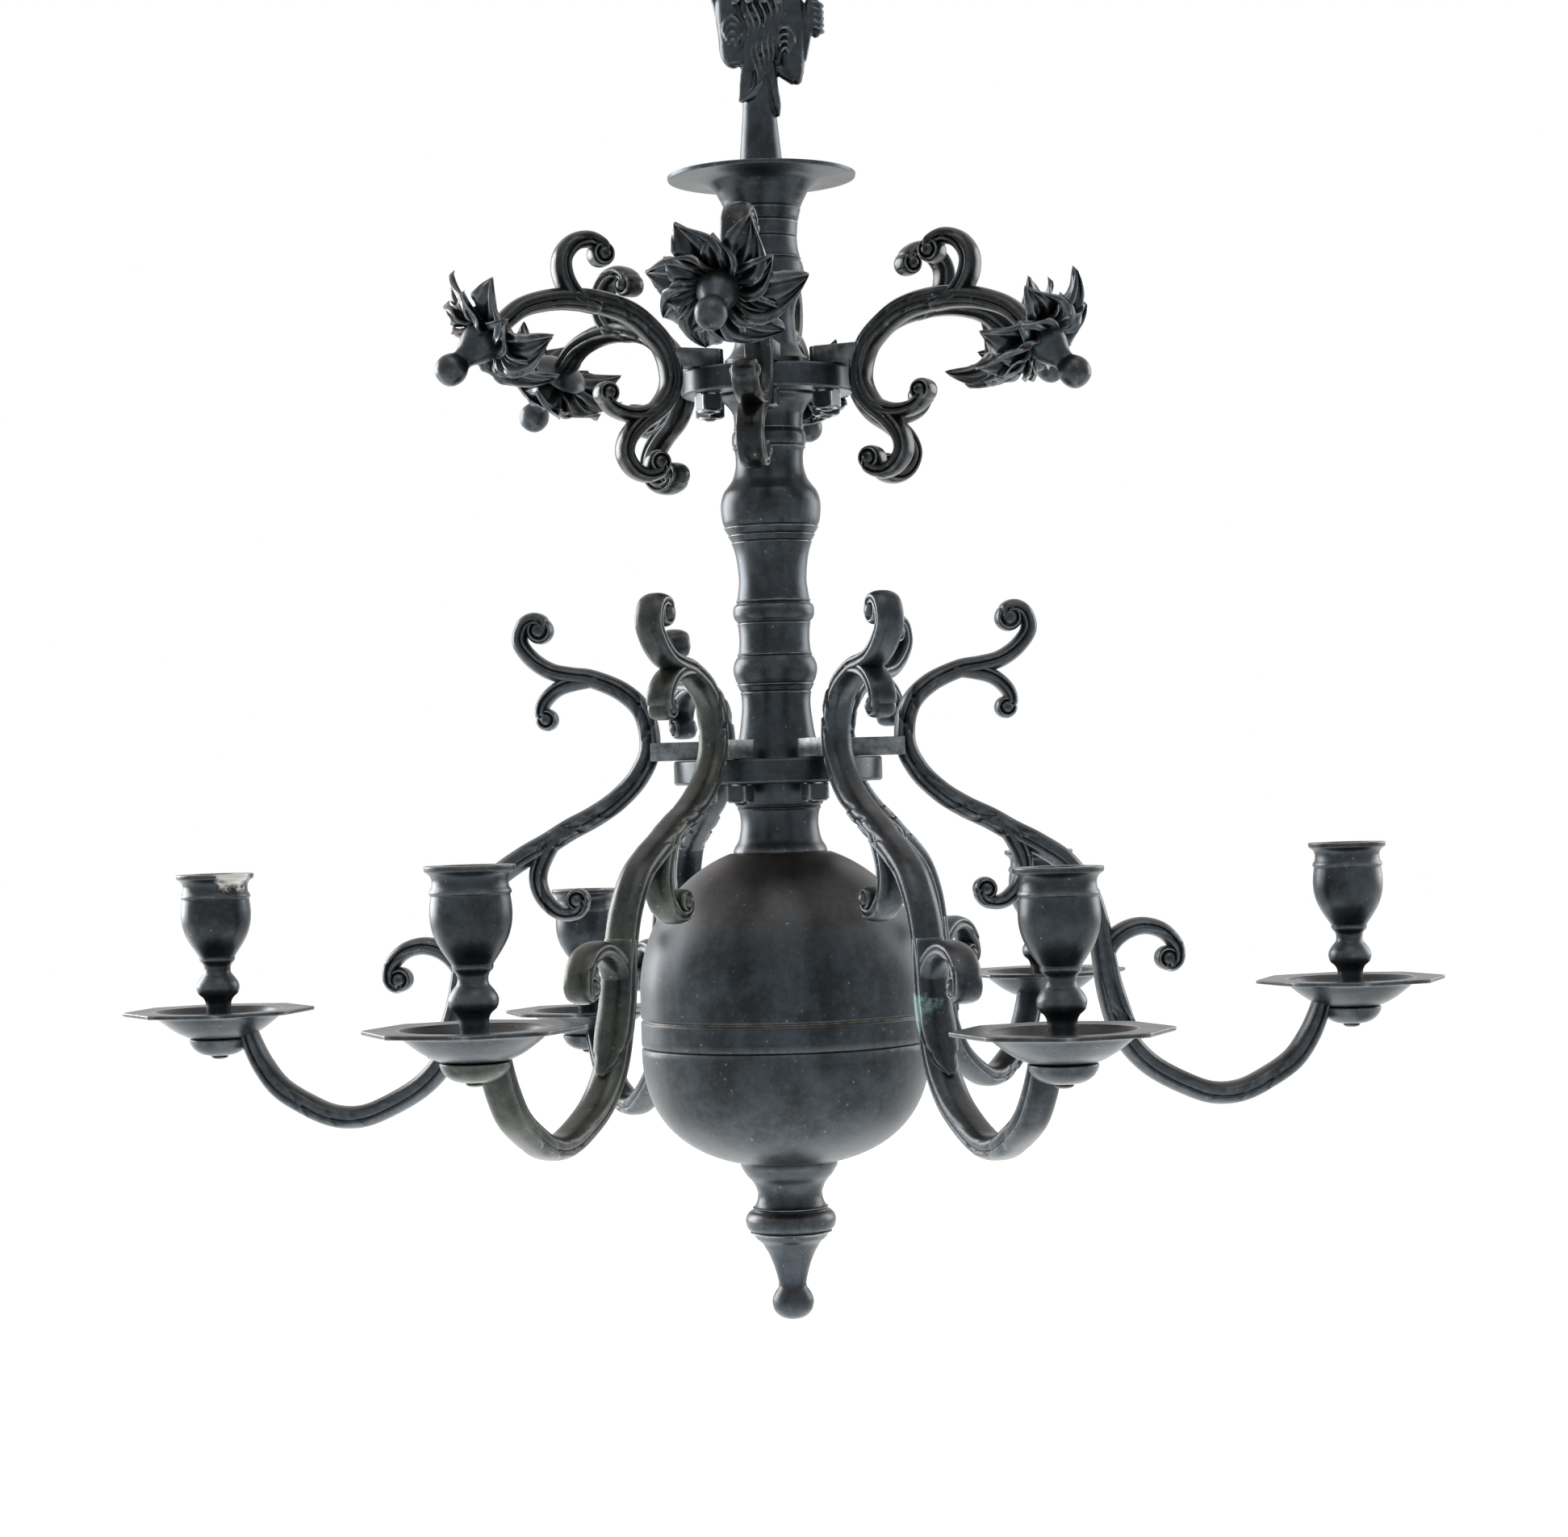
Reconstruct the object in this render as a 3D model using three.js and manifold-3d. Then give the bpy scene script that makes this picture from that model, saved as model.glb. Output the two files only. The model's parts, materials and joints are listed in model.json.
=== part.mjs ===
// Candle chandelier: six candle arms, six ornamental scroll arms, a turned stem, a hollow ball and
// a cast spread eagle that carries the suspension ring.
// Millimetres, +Z up. Heights are written from the top face of the lower arm plate, and the whole
// model is then lowered so that the supporting hook bears on the ring at the origin.
import * as THREE from 'three';
import { mergeVertices } from 'three/addons/utils/BufferGeometryUtils.js';
import Module from 'manifold-3d';

const wasm = await Module();
wasm.setup();

// Arms, in degrees from the front. Their pegs are evenly spaced round the stem, and the angles are the
// directions that the arms point in, as they were set by hand.
const firstCandlePeg = -31;
const firstScrollPeg = 0;
const armCount = 6;
const candleArmAngles = [-26, 23.3, 95.8, 149, 203.5, 264.4];
const scrollArmAngles = [-10.4, 62, 117.2, 170.7, 225.5, 294.8];
// How far each arm was bent up in use, in degrees about the outer end of its tang.
const candleArmBends = [1.9, 0, 0, -1.2, -5.2, 0];
const scrollArmBends = [9.4, -1, 9.4, 0, 2, 4];
// How far each octagonal pan is turned on its stud, in degrees, from a flat side facing the stem.
const panTurns = [3.5, -1.5, 17.5, 12, -6, -9];

// Fits and clearances
const seatGap = 0.3;
const rodClearance = 0.3;
const pegClearance = 0.25;
const studClearance = 0.3;
const eyeGap = 0.6;

// Central rod that threads the stem together
const rodRadius = 5;
const rodGrip = 22;

// Arm plates
const lowerPlateRadius = 51.6;
const lowerPlateThickness = 12;
const upperPlateRadius = 42.8;
const upperPlateThickness = 12;

// Turned stem pieces, from the top down
const trumpetHeight = 97;
const trumpetRimRadius = 46.8;
const trumpetSeatDepth = 7;
const figureFootRadius = 12;
const balusterHeight = 180;
const spoolHeight = 34.5;
const finialHeight = 78.5;

// Ball, two hollow halves that meet in a groove under the equatorial band
const ballRadius = 71.4;
const ballWall = 2.4;
const ballBandHeight = 27.5;
const ballLowerDepth = 60.4;
const ballLowerFullness = 2.4;
const ballSeatRadius = 25;
const ballGrooveDepth = 1.2;
const ballGrooveSpacing = 12;

// Arm pegs and their square nuts
const pegRadius = 3.5;
const pegEndLength = 4.6;
const nutWidth = 10.2;
const nutHeight = 9.2;

// Candle arm
const candlePegCircle = 36;
const candleArmReach = 250;
const candleArmDrop = 132.5;
const candleArmRise = 78.5;
const candleArmWidth = 15;
const candleArmThickness = 11;
const candleRollRadius = 5.6;
const candleTangHeight = 9.4;
const candleTangInset = 8;
const candleTangReach = 25;
const bossRadius = 15;
const bossDepth = 8.6;

// Scroll arm
const scrollPegCircle = 33.5;
const scrollArmReach = 107.5;
const scrollArmRise = 59.5;
const scrollArmSink = 54.3;
const scrollArmWidth = 13.5;
const scrollArmThickness = 11;
const scrollRollRadius = 5.6;
const flowerSeatHeight = 13;
const scrollTangHeight = 9.4;
const scrollTangInset = 8;
const scrollTangReach = 18.5;
const flowerAxisAngle = -45;

// Drip pan
const panRadius = 47.8;
const panRecessRadius = 30.8;
const panFloorRadius = 13;
const panDepth = 14.3;
const panWall = 2;

// Candle cup
const cupHeight = 80;
const cupRimRadius = 19.4;
const candleSocketRadius = 11.8;
const candleSocketDepth = 34;
const cupStudRadius = 3;
const cupStudEnd = 2;

// Flower and pistil
const petalCount = 6;
const petalLength = 34;
const petalWidth = 18;
const flowerHubRadius = 8;
const flowerHubDepth = 6;
const pistilLength = 36;
const pistilBulbRadius = 9.6;
const pistilBallRadius = 7.2;
const pistilStudRadius = 2.4;
const pistilStudReach = 6;

// Cast figure and suspension ring
const eyeHeight = 170;
const eyeHoleRadius = 5.4;
const eyeRimRadius = 10;
const eyeThickness = 6;
const ringRadius = 20;
const ringWireRadius = 3;

// A scroll's roll is a little wider than the strand that ends in it.
const rollWidening = 1.06;

// Number of flat sides that stand for a round
const plateSides = 20;
const stemSides = 12;
const ballSides = 16;
const cupSides = 10;
const panSides = 12;
const pegSides = 6;
const pistilSides = 7;
const ringSides = 24;

// Facets left by a join are merged where that moves the surface less than this.
const facetTolerance = 0.1;

const holeFactor = 1 / Math.cos(Math.PI / pegSides);
const rodBoreRadius = rodRadius + rodClearance;
const pegHoleRadius = (pegRadius + pegClearance) * holeFactor;

// Heights of the stack
const lowerPlateBottom = -lowerPlateThickness;
const upperPlateBottom = balusterHeight;
const upperPlateTop = upperPlateBottom + upperPlateThickness;
const figureSeat = upperPlateTop + trumpetHeight - trumpetSeatDepth;
const ballTop = lowerPlateBottom - spoolHeight;
const ballShoulder = Math.sqrt(ballRadius ** 2 - ballSeatRadius ** 2);
const ballUpperCentre = ballTop - ballShoulder;
const ballSeam = ballUpperCentre - ballBandHeight;
const ballBottomShare = (1 - (ballSeatRadius / ballRadius) ** ballLowerFullness) ** (1 / ballLowerFullness);
const ballBottom = ballSeam - ballLowerDepth * ballBottomShare;
const bearingHeight = figureSeat + eyeHeight + eyeHoleRadius - eyeGap - ringWireRadius * 2 + ringRadius * 2;

const bronze = { color: 0x31363b, roughness: 0.5, metalness: 0.85 };
const brownBronze = { color: 0x3d3a36, roughness: 0.52, metalness: 0.8 };
const greenBronze = { color: 0x3a4038, roughness: 0.55, metalness: 0.75 };
const iron = { color: 0x2b2a29, roughness: 0.62, metalness: 0.75 };

// Turns a closed triangle mesh into a solid, whichever way round its faces were wound.
function toSolid(geometry) {
  const bare = geometry.index ? geometry.toNonIndexed() : geometry.clone();
  bare.deleteAttribute('normal');
  bare.deleteAttribute('uv');
  const merged = mergeVertices(bare, 1e-4);
  const corner = (i) => new THREE.Vector3().fromBufferAttribute(merged.attributes.position, i);
  const triangles = [];
  let volume = 0;
  for (let i = 0; i < merged.index.count; i += 3) {
    const triangle = [0, 1, 2].map((k) => merged.index.getX(i + k));
    if (new Set(triangle).size < 3) continue;
    const [a, b, c] = triangle.map(corner);
    volume += a.dot(b.cross(c));
    triangles.push(triangle);
  }
  if (volume < 0) triangles.forEach((triangle) => triangle.reverse());
  return new wasm.Manifold(new wasm.Mesh({
    numProp: 3,
    vertProperties: new Float32Array(merged.attributes.position.array),
    triVerts: new Uint32Array(triangles.flat()),
  }));
}

function toGeometry(solid) {
  const mesh = solid.simplify(facetTolerance).getMesh();
  const geometry = new THREE.BufferGeometry();
  geometry.setAttribute('position', new THREE.BufferAttribute(new Float32Array(mesh.vertProperties), 3));
  geometry.setIndex(new THREE.BufferAttribute(new Uint32Array(mesh.triVerts), 1));
  geometry.computeVertexNormals();
  return geometry;
}

function join(...geometries) {
  const solids = geometries.map(toSolid);
  return toGeometry(solids.reduce((whole, solid) => whole.add(solid)));
}

function cut(geometry, ...tools) {
  return toGeometry(tools.map(toSolid).reduce((whole, tool) => whole.subtract(tool), toSolid(geometry)));
}

// A turned body: an outline of [radius, height] points that closes on itself or on the axis.
function turned(outline, sides) {
  const points = outline.map(([radius, height]) => new THREE.Vector2(radius, height));
  if (outline[0][0] > 0) points.push(points[0].clone());
  return new THREE.LatheGeometry(points, sides).rotateX(Math.PI / 2);
}

// A turned stem piece with a through bore, its outline drawn from the foot and stretched to a height.
function stemPiece(outline, height) {
  const drawn = outline[outline.length - 1][1];
  const stretched = outline.map(([radius, level]) => [radius, level * height / drawn]);
  return turned([[rodBoreRadius, 0], ...stretched, [rodBoreRadius, height]], stemSides);
}

function cylinder(radius, bottom, top, sides) {
  const height = top - bottom;
  return new THREE.CylinderGeometry(radius, radius, height, sides)
    .rotateX(Math.PI / 2)
    .translate(0, 0, bottom + height / 2);
}

// Joins rings of equal point counts into one closed skin with flat ends.
function skin(rings) {
  const corners = [];
  const face = (...points) => points.forEach((point) => corners.push(point.x, point.y, point.z));
  const middle = (ring) => ring.reduce((sum, point) => sum.add(point), new THREE.Vector3())
    .divideScalar(ring.length);
  rings.slice(1).forEach((ring, i) => {
    const last = rings[i];
    ring.forEach((point, k) => {
      const next = (k + 1) % ring.length;
      face(last[k], last[next], ring[next]);
      face(last[k], ring[next], point);
    });
  });
  const foot = rings[0];
  const head = rings[rings.length - 1];
  foot.forEach((point, k) => face(middle(foot), foot[(k + 1) % foot.length], point));
  head.forEach((point, k) => face(middle(head), point, head[(k + 1) % head.length]));
  const geometry = new THREE.BufferGeometry();
  geometry.setAttribute('position', new THREE.Float32BufferAttribute(corners, 3));
  return geometry;
}

// Sections of a cast strand, as shares of its thickness in the arm's plane and of its width across:
// a bar crowned on both faces, and a lighter flat one that tapers to the left or right of its way.
const bothCrowned = [[0.5, 0], [0.3, 0.5], [-0.3, 0.5], [-0.5, 0], [-0.3, -0.5], [0.3, -0.5]];
const leftTapered = [[0.5, 0.34], [-0.5, 0.48], [-0.5, -0.48], [0.5, -0.34]];
const rightTapered = leftTapered.map(([n, b]) => [-n, b]);

// Value at a share of the way along a list of evenly spaced values.
function along(values, share) {
  const place = share * (values.length - 1);
  const i = Math.min(Math.floor(place), values.length - 2);
  return THREE.MathUtils.lerp(values[i], values[i + 1], place - i);
}

// A cast strand that follows a line of [x, z] points in the arm's plane. With a roll radius, the last
// point is the middle of a round roll, the rolled-up end of a scroll.
function strand(line, thicknesses, widths, section, rollRadius = 0) {
  const points = line.map(([x, z]) => new THREE.Vector2(x, z));
  const stations = points.map((point, i) => {
    const before = points[Math.max(i - 1, 0)];
    const after = points[Math.min(i + 1, points.length - 1)];
    const share = i / (points.length - 1);
    return {
      point,
      forward: after.clone().sub(before).normalize(),
      thickness: along(thicknesses, share),
      width: along(widths, share),
    };
  });
  if (rollRadius > 0) {
    const end = stations.pop();
    [-0.7, 0, 0.7].forEach((reach) => stations.push({
      point: end.point.clone().addScaledVector(end.forward, reach * rollRadius),
      forward: end.forward,
      thickness: rollRadius * 2 * Math.sqrt(1 - reach * reach),
      width: end.width * rollWidening,
    }));
  }
  return skin(stations.map(({ point, forward, thickness, width }) => section.map(([n, b]) => new THREE.Vector3(
    point.x - forward.y * n * thickness,
    b * width,
    point.y + forward.x * n * thickness,
  ))));
}

// Points of a spiral round a volute's centre, between two radii and two angles in degrees.
function curl([x, z], startRadius, endRadius, startAngle, endAngle, steps) {
  return Array.from({ length: steps + 1 }, (_, i) => {
    const radius = THREE.MathUtils.lerp(startRadius, endRadius, i / steps);
    const angle = THREE.MathUtils.degToRad(THREE.MathUtils.lerp(startAngle, endAngle, i / steps));
    return [x + radius * Math.cos(angle), z + radius * Math.sin(angle)];
  });
}

// Tang with a rounded inner end that lies on the plate, and the round peg that goes down through it.
function tangAndPeg(inset, outerEnd, width, height, plateThickness) {
  const half = width / 2;
  const outline = new THREE.Shape();
  outline.moveTo(outerEnd, -half);
  outline.lineTo(outerEnd, half);
  outline.lineTo(-inset + half, half);
  outline.absarc(-inset + half, 0, half, Math.PI / 2, Math.PI * 1.5);
  const tang = new THREE.ExtrudeGeometry(outline, { depth: height - seatGap, bevelEnabled: false, curveSegments: 2 });
  tang.translate(0, 0, seatGap);
  const pegBottom = -plateThickness - nutHeight - pegEndLength;
  return [tang, cylinder(pegRadius, pegBottom, height / 2, pegSides)];
}

// Turns a body up about the outer end of its arm's tang, by an angle in degrees.
function bentUp(geometry, tangEnd, bend) {
  return geometry
    .translate(-tangEnd, 0, 0)
    .rotateY(-THREE.MathUtils.degToRad(bend))
    .translate(tangEnd, 0, 0);
}

// Where a point of the arm's plane comes to when the arm is bent up, as x and z.
function bentPlace(x, z, tangEnd, bend) {
  const point = new THREE.Vector2(x, z).rotateAround(
    new THREE.Vector2(tangEnd, 0),
    THREE.MathUtils.degToRad(bend),
  );
  return [point.x, point.y];
}

// Candle arm, drawn from its peg outwards, with the tang's underside at height 0. Its boss stays level
// when it is bent.
function candleArm(bend) {
  const drawnPeg = 36;
  const drawnEnd = 235;
  const drawnDrop = 132.5;
  const drawnRise = 78.5;
  const wide = (candleArmReach - bossRadius) / drawnEnd;
  const tangEnd = candleTangReach * wide;
  const deep = candleArmDrop / drawnDrop;
  const high = candleArmRise / drawnRise;
  const place = (line) => line.map(([r, z]) => [(r - drawnPeg) * wide, z * (z < 0 ? deep : high)]);
  const thick = (...shares) => shares.map((share) => share * candleArmThickness);
  const topVolute = [117, 66.5];
  const main = [
    [270.5, -134], [267, -145], [251, -163], [223, -173], [192, -164], [169, -140], [161, -105],
    [153.5, -72], [135, -49], [84, -22.5], [66, -7], [64.5, 16], [77, 36], [98, 44.5],
    ...curl(topVolute, 12, 3.5, -62, 190, 5),
  ];
  const downScroll = [[94, 42.5], [106, 40.5], [114, 34.5], [115, 24.5]];
  const innerScroll = [[106, -31.5], [118.5, -46], [119.5, -63], [110, -74.5], [101.5, -67.5]];
  const outerScroll = [[161.5, -108], [165, -95.5], [178, -87.8], [193, -91.5], [192.8, -105]];
  const leafLip = [[159.5, -110], [165, -130], [181, -143.5]];
  const width = candleArmWidth;
  const [seatReach, seatHeight] = bentPlace(candleArmReach, -candleArmDrop, candleTangReach, bend);
  const boss = turned([
    [0, -bossDepth], [bossRadius * 0.55, -bossDepth * 0.86], [bossRadius, 0], [0, 0],
  ], cupSides).translate(seatReach, 0, seatHeight);
  const bow = [
    strand(place(main), thick(1, 1.05, 1, 0.95, 0.97, 0.82, 0.73, 0.55), [width, width * 0.92],
      bothCrowned, candleRollRadius),
    strand(place(downScroll), thick(0.68, 0.55), [width * 0.9, width * 0.88], leftTapered,
      candleRollRadius * 0.93),
    strand(place(innerScroll), thick(0.86, 0.55), [width * 0.95, width * 0.9], leftTapered,
      candleRollRadius),
    strand(place(outerScroll), thick(0.86, 0.6), [width * 0.95, width * 0.9], leftTapered,
      candleRollRadius * 1.04),
    strand(place(leafLip), thick(1.18, 1.18, 0.1), [width * 1.05, width * 1.12, width * 0.2], leftTapered),
  ].map((part) => bentUp(part, candleTangReach, bend));
  const tang = tangAndPeg(candleTangInset, tangEnd, width, candleTangHeight, lowerPlateThickness);
  const studHole = (cupStudRadius + studClearance) * holeFactor;
  const drill = cylinder(studHole, -bossDepth * 2, bossDepth, pegSides);
  return cut(join(...bow, boss, ...tang), drill.translate(seatReach, 0, seatHeight));
}

// Scroll arm, drawn from its peg outwards to the seat of its flower.
function scrollArm(bend) {
  const drawnPeg = 33.5;
  const drawnReach = 107.5;
  const drawnRise = 59.5;
  const drawnSink = 54.3;
  const drawnSeat = 13;
  const wide = scrollArmReach / drawnReach;
  const tangEnd = scrollTangReach * wide;
  const high = scrollArmRise / drawnRise;
  const deep = scrollArmSink / drawnSink;
  const lift = flowerSeatHeight - drawnSeat * high;
  const place = (line) => line.map(([r, z]) => [
    (r - drawnPeg) * wide,
    z * (z < 0 ? deep : high) + lift * Math.max(0, (r - drawnPeg) / drawnReach),
  ]);
  const thick = (...shares) => shares.map((share) => share * scrollArmThickness);
  const main = [
    [141, 13], [131, 23], [110, 28], [86, 27], [66.5, 18.5], [54.1, 3], [55.7, -17], [71.9, -34],
    [74.1, -47.5], [63.3, -54.3], [59, -46.8],
  ];
  const topCurl = [[97.8, 24], [111.3, 37], [111.9, 51], [98.9, 59.5], [93, 51.5]];
  const innerCurl = [[55.7, -17], [69.8, -25.5], [83.8, -22.5], [87.3, -15]];
  const width = scrollArmWidth;
  const bow = [
    strand(place(main), thick(0.91, 1.05, 0.95, 0.95, 0.86, 0.64), [width, width * 0.92],
      bothCrowned, scrollRollRadius),
    strand(place(topCurl), thick(0.95, 0.86, 0.77, 0.59), [width, width * 0.92], rightTapered,
      scrollRollRadius),
    strand(place(innerCurl), thick(0.77, 0.59), [width * 0.92, width * 0.9], rightTapered,
      scrollRollRadius),
  ].map((part) => bentUp(part, scrollTangReach, bend));
  const tang = tangAndPeg(scrollTangInset, tangEnd, width, scrollTangHeight, upperPlateThickness);
  const socket = cylinder((pistilStudRadius + studClearance) * holeFactor, -pistilStudReach - 1, 8, 6);
  return cut(join(...bow, ...tang), bentUp(onFlowerAxis(socket), scrollTangReach, bend));
}

// Turns a body drawn along +Z on the flower's seat into the scroll arm's frame.
function onFlowerAxis(geometry) {
  return geometry
    .rotateY(THREE.MathUtils.degToRad(90 - flowerAxisAngle))
    .translate(scrollArmReach, 0, flowerSeatHeight);
}

// One pointed petal, cupped along its rib, growing out along +X.
function petal(length, width, lift, droop) {
  const stations = [[0.17, 0.3, 1.8], [0.58, 1, 1.8], [1, 0.04, 0.5]];
  return skin(stations.map(([reach, share, thickness]) => {
    const x = reach * length;
    const half = width * share / 2;
    const rib = lift * Math.sin(reach * Math.PI * 0.8) - droop * reach * reach;
    const edge = rib + half * 0.35;
    return [
      new THREE.Vector3(x, -half, edge),
      new THREE.Vector3(x, 0, rib - thickness / 2),
      new THREE.Vector3(x, half, edge),
      new THREE.Vector3(x, 0, rib + thickness / 2),
    ];
  }));
}

function flower() {
  const petals = Array.from({ length: petalCount }, (_, i) => {
    const outer = i % 2;
    const blade = petal(petalLength * (outer ? 1 : 0.9), petalWidth, outer ? 3 : 6, outer ? 5 : -1);
    return blade.rotateZ((i / petalCount) * Math.PI * 2).translate(0, 0, flowerHubDepth * 0.55);
  });
  const hub = turned([
    [0, seatGap], [flowerHubRadius * 0.75, seatGap], [flowerHubRadius, flowerHubDepth],
    [0, flowerHubDepth],
  ], 6);
  const bore = cylinder((pistilStudRadius + studClearance) * holeFactor, -1, flowerHubDepth * 3, 6);
  return onFlowerAxis(cut(join(hub, ...petals), bore));
}

function pistil() {
  const seat = flowerHubDepth + seatGap;
  const bulb = pistilBulbRadius;
  const ball = pistilBallRadius;
  const ballCentre = seat + pistilLength - ball;
  return onFlowerAxis(turned([
    [0, -pistilStudReach], [pistilStudRadius, -pistilStudReach], [pistilStudRadius, seat],
    [bulb, seat + 3], [bulb * 0.8, seat + 9], [bulb * 0.5, ballCentre - ball],
    [ball, ballCentre - ball * 0.2], [ball * 0.7, ballCentre + ball * 0.72],
    [0, ballCentre + ball],
  ], pistilSides));
}

// Drip pan: a shallow round bowl let into an octagonal flange.
function dripPan() {
  const hole = (cupStudRadius + studClearance) * holeFactor;
  const bottom = seatGap;
  const top = bottom + panDepth;
  const rimSlope = (panDepth - panWall) / (panRecessRadius - panFloorRadius);
  const flange = cylinder(panRadius, top - panWall, top, 8).rotateZ(Math.PI / 8);
  const bowl = turned([
    [0, bottom], [panFloorRadius, bottom], [panRecessRadius + panWall * rimSlope, top], [0, top],
  ], panSides);
  const hollow = turned([
    [0, bottom + panWall], [panFloorRadius, bottom + panWall],
    [panRecessRadius + panWall, bottom + panWall + rimSlope * (panRecessRadius + panWall - panFloorRadius)],
    [0, bottom + panWall + rimSlope * (panRecessRadius + panWall - panFloorRadius)],
  ], panSides);
  return cut(join(flange, bowl), hollow, cylinder(hole, bottom - 1, top, pegSides));
}

// Candle cup on its baluster foot, with the stud that passes through the pan and the boss.
function candleCup() {
  const foot = seatGap * 2 + panWall;
  const top = foot + cupHeight;
  const floor = top - candleSocketDepth;
  const stud = -bossDepth - cupStudEnd;
  const outline = [
    [10, 0], [5.9, 9], [10.5, 21.5], [5.9, 30.8], [9.2, 37], [15.4, 46], [18.4, 59], [15.6, 71],
    [cupRimRadius, 76], [cupRimRadius, 80],
  ].map(([radius, level]) => [radius, foot + level * cupHeight / 80]);
  return turned([
    [0, stud], [cupStudRadius, stud], [cupStudRadius, foot], ...outline,
    [candleSocketRadius, top], [candleSocketRadius, floor], [0, floor],
  ], cupSides);
}

function squareNut(plateThickness) {
  const half = nutWidth / 2;
  const outline = new THREE.Shape([
    new THREE.Vector2(-half, -half), new THREE.Vector2(half, -half),
    new THREE.Vector2(half, half), new THREE.Vector2(-half, half),
  ]);
  outline.holes.push(new THREE.Path().absarc(0, 0, pegHoleRadius, 0, Math.PI * 2, true));
  return new THREE.ExtrudeGeometry(outline, {
    depth: nutHeight - seatGap, bevelEnabled: false, curveSegments: pegSides / 2,
  }).translate(0, 0, -plateThickness - nutHeight);
}

// Arm plate: a disc with its rod bore and one peg hole under each arm.
function armPlate(radius, thickness, pegCircle, firstPeg) {
  const outline = new THREE.Shape().absarc(0, 0, radius, 0, Math.PI * 2);
  const disc = new THREE.ExtrudeGeometry(outline, {
    depth: thickness, bevelEnabled: false, curveSegments: plateSides / 2,
  });
  const bore = cylinder(rodBoreRadius * holeFactor, -1, thickness + 1, pegSides);
  const holes = Array.from({ length: armCount }, (_, i) => cylinder(pegHoleRadius, -1, thickness + 1, pegSides)
    .translate(pegCircle, 0, 0)
    .rotateZ(armTurn(pegAngle(firstPeg, i))));
  return cut(disc, bore, ...holes);
}

// Direction of a peg from the stem, in degrees from the front.
function pegAngle(firstPeg, i) {
  return firstPeg + i * 360 / armCount;
}

function armTurn(angle) {
  return THREE.MathUtils.degToRad(angle - 90);
}

// Top stem piece: foot, bulb and rings under a wide thin trumpet flange, dished on top.
function stemTrumpet() {
  const flange = trumpetRimRadius;
  const top = trumpetHeight;
  return stemPiece([
    [20.8, 0], [15.8, 11], [14.5, 27], [19.6, 43], [19.6, 50.5], [16.8, 63], [18.8, 80], [23, 89],
    [flange, top - 2], [flange, top], [figureFootRadius + 2, top - trumpetSeatDepth],
  ], top - trumpetSeatDepth);
}

function stemBaluster() {
  return stemPiece([
    [21.5, 0], [17.3, 22], [20.5, 39], [20.5, 46], [17.4, 60], [20, 70], [19.4, 77.5], [16.8, 90],
    [18.6, 102], [24.2, 117], [24.6, 127], [16.8, 145], [18.2, 157], [17, 169], [26, 180],
  ], balusterHeight);
}

function stemSpool() {
  return stemPiece([
    [23.2, 0], [23.2, 2], [19.2, 12], [20, 21], [24.5, 34.5],
  ], spoolHeight);
}

// Arc of a ball half, as radius and height pairs.
function roundShell(radius, centre, fromAngle, toAngle, steps) {
  return curl([0, centre], radius, radius, fromAngle, toAngle, steps);
}

function ballUpperHalf() {
  const topAngle = THREE.MathUtils.radToDeg(Math.acos(ballSeatRadius / ballRadius));
  const inner = ballRadius - ballWall;
  const groove = ballSeam + ballGrooveSpacing;
  return turned([
    [ballRadius - ballGrooveDepth, ballSeam], [ballRadius, ballSeam + ballGrooveDepth],
    [ballRadius, groove - ballGrooveDepth], [ballRadius - ballGrooveDepth, groove],
    [ballRadius, groove + ballGrooveDepth], ...roundShell(ballRadius, ballUpperCentre, 0, topAngle, 4),
    [rodBoreRadius, ballTop], [rodBoreRadius, ballTop - ballWall * 1.5],
    ...roundShell(inner, ballUpperCentre, topAngle, 0, 2), [inner, ballSeam],
  ], ballSides);
}

// The lower half is a little squarer than a sphere, drawn as a superellipse.
function ballLowerHalf() {
  const bowl = (radius, depth, stopRadius, steps) => {
    const lastAngle = Math.acos((stopRadius / radius) ** (ballLowerFullness / 2));
    return Array.from({ length: steps + 1 }, (_, i) => {
      const angle = lastAngle * i / steps;
      return [
        radius * Math.cos(angle) ** (2 / ballLowerFullness),
        ballSeam - depth * Math.sin(angle) ** (2 / ballLowerFullness),
      ];
    });
  };
  const outer = bowl(ballRadius, ballLowerDepth, ballSeatRadius, 5);
  const inner = bowl(ballRadius - ballWall, ballLowerDepth - ballWall, ballSeatRadius * 0.8, 3).reverse();
  outer[0] = [ballRadius, ballSeam - ballGrooveDepth];
  return turned([
    [ballRadius - ballGrooveDepth, ballSeam], ...outer, [rodBoreRadius, ballBottom],
    [rodBoreRadius, inner[0][1]], ...inner,
  ], ballSides);
}

// Bottom finial, screwed on the rod's end, drawn downwards from its seat under the ball.
function bottomFinial() {
  const drawnHeight = 78.5;
  const outline = [
    [24, 0], [24, 2], [16.2, 14], [16.8, 20], [22, 27], [22, 31.5], [13, 43], [6.8, 61], [10.4, 70],
    [7, 76.5], [0, 78.5],
  ].map(([radius, depth]) => [radius, ballBottom - depth * finialHeight / drawnHeight]);
  return turned([
    ...outline.reverse(), [rodBoreRadius, ballBottom], [rodBoreRadius, ballBottom - rodGrip - rodClearance],
    [0, ballBottom - rodGrip - rodClearance],
  ], stemSides);
}

function centralRod() {
  return cylinder(rodRadius, ballBottom - rodGrip, figureSeat + rodGrip - rodClearance, 8);
}

// One ring of a fluted tail: alternate points lie in and out.
function flutedRing(height, halfWidth, halfDepth, shift, flutes) {
  return Array.from({ length: flutes * 2 }, (_, i) => {
    const angle = (i / flutes) * Math.PI;
    const share = i % 2 ? 0.88 : 1;
    return new THREE.Vector3(
      shift + halfWidth * share * Math.cos(angle),
      halfDepth * share * Math.sin(angle),
      height,
    );
  });
}

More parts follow.
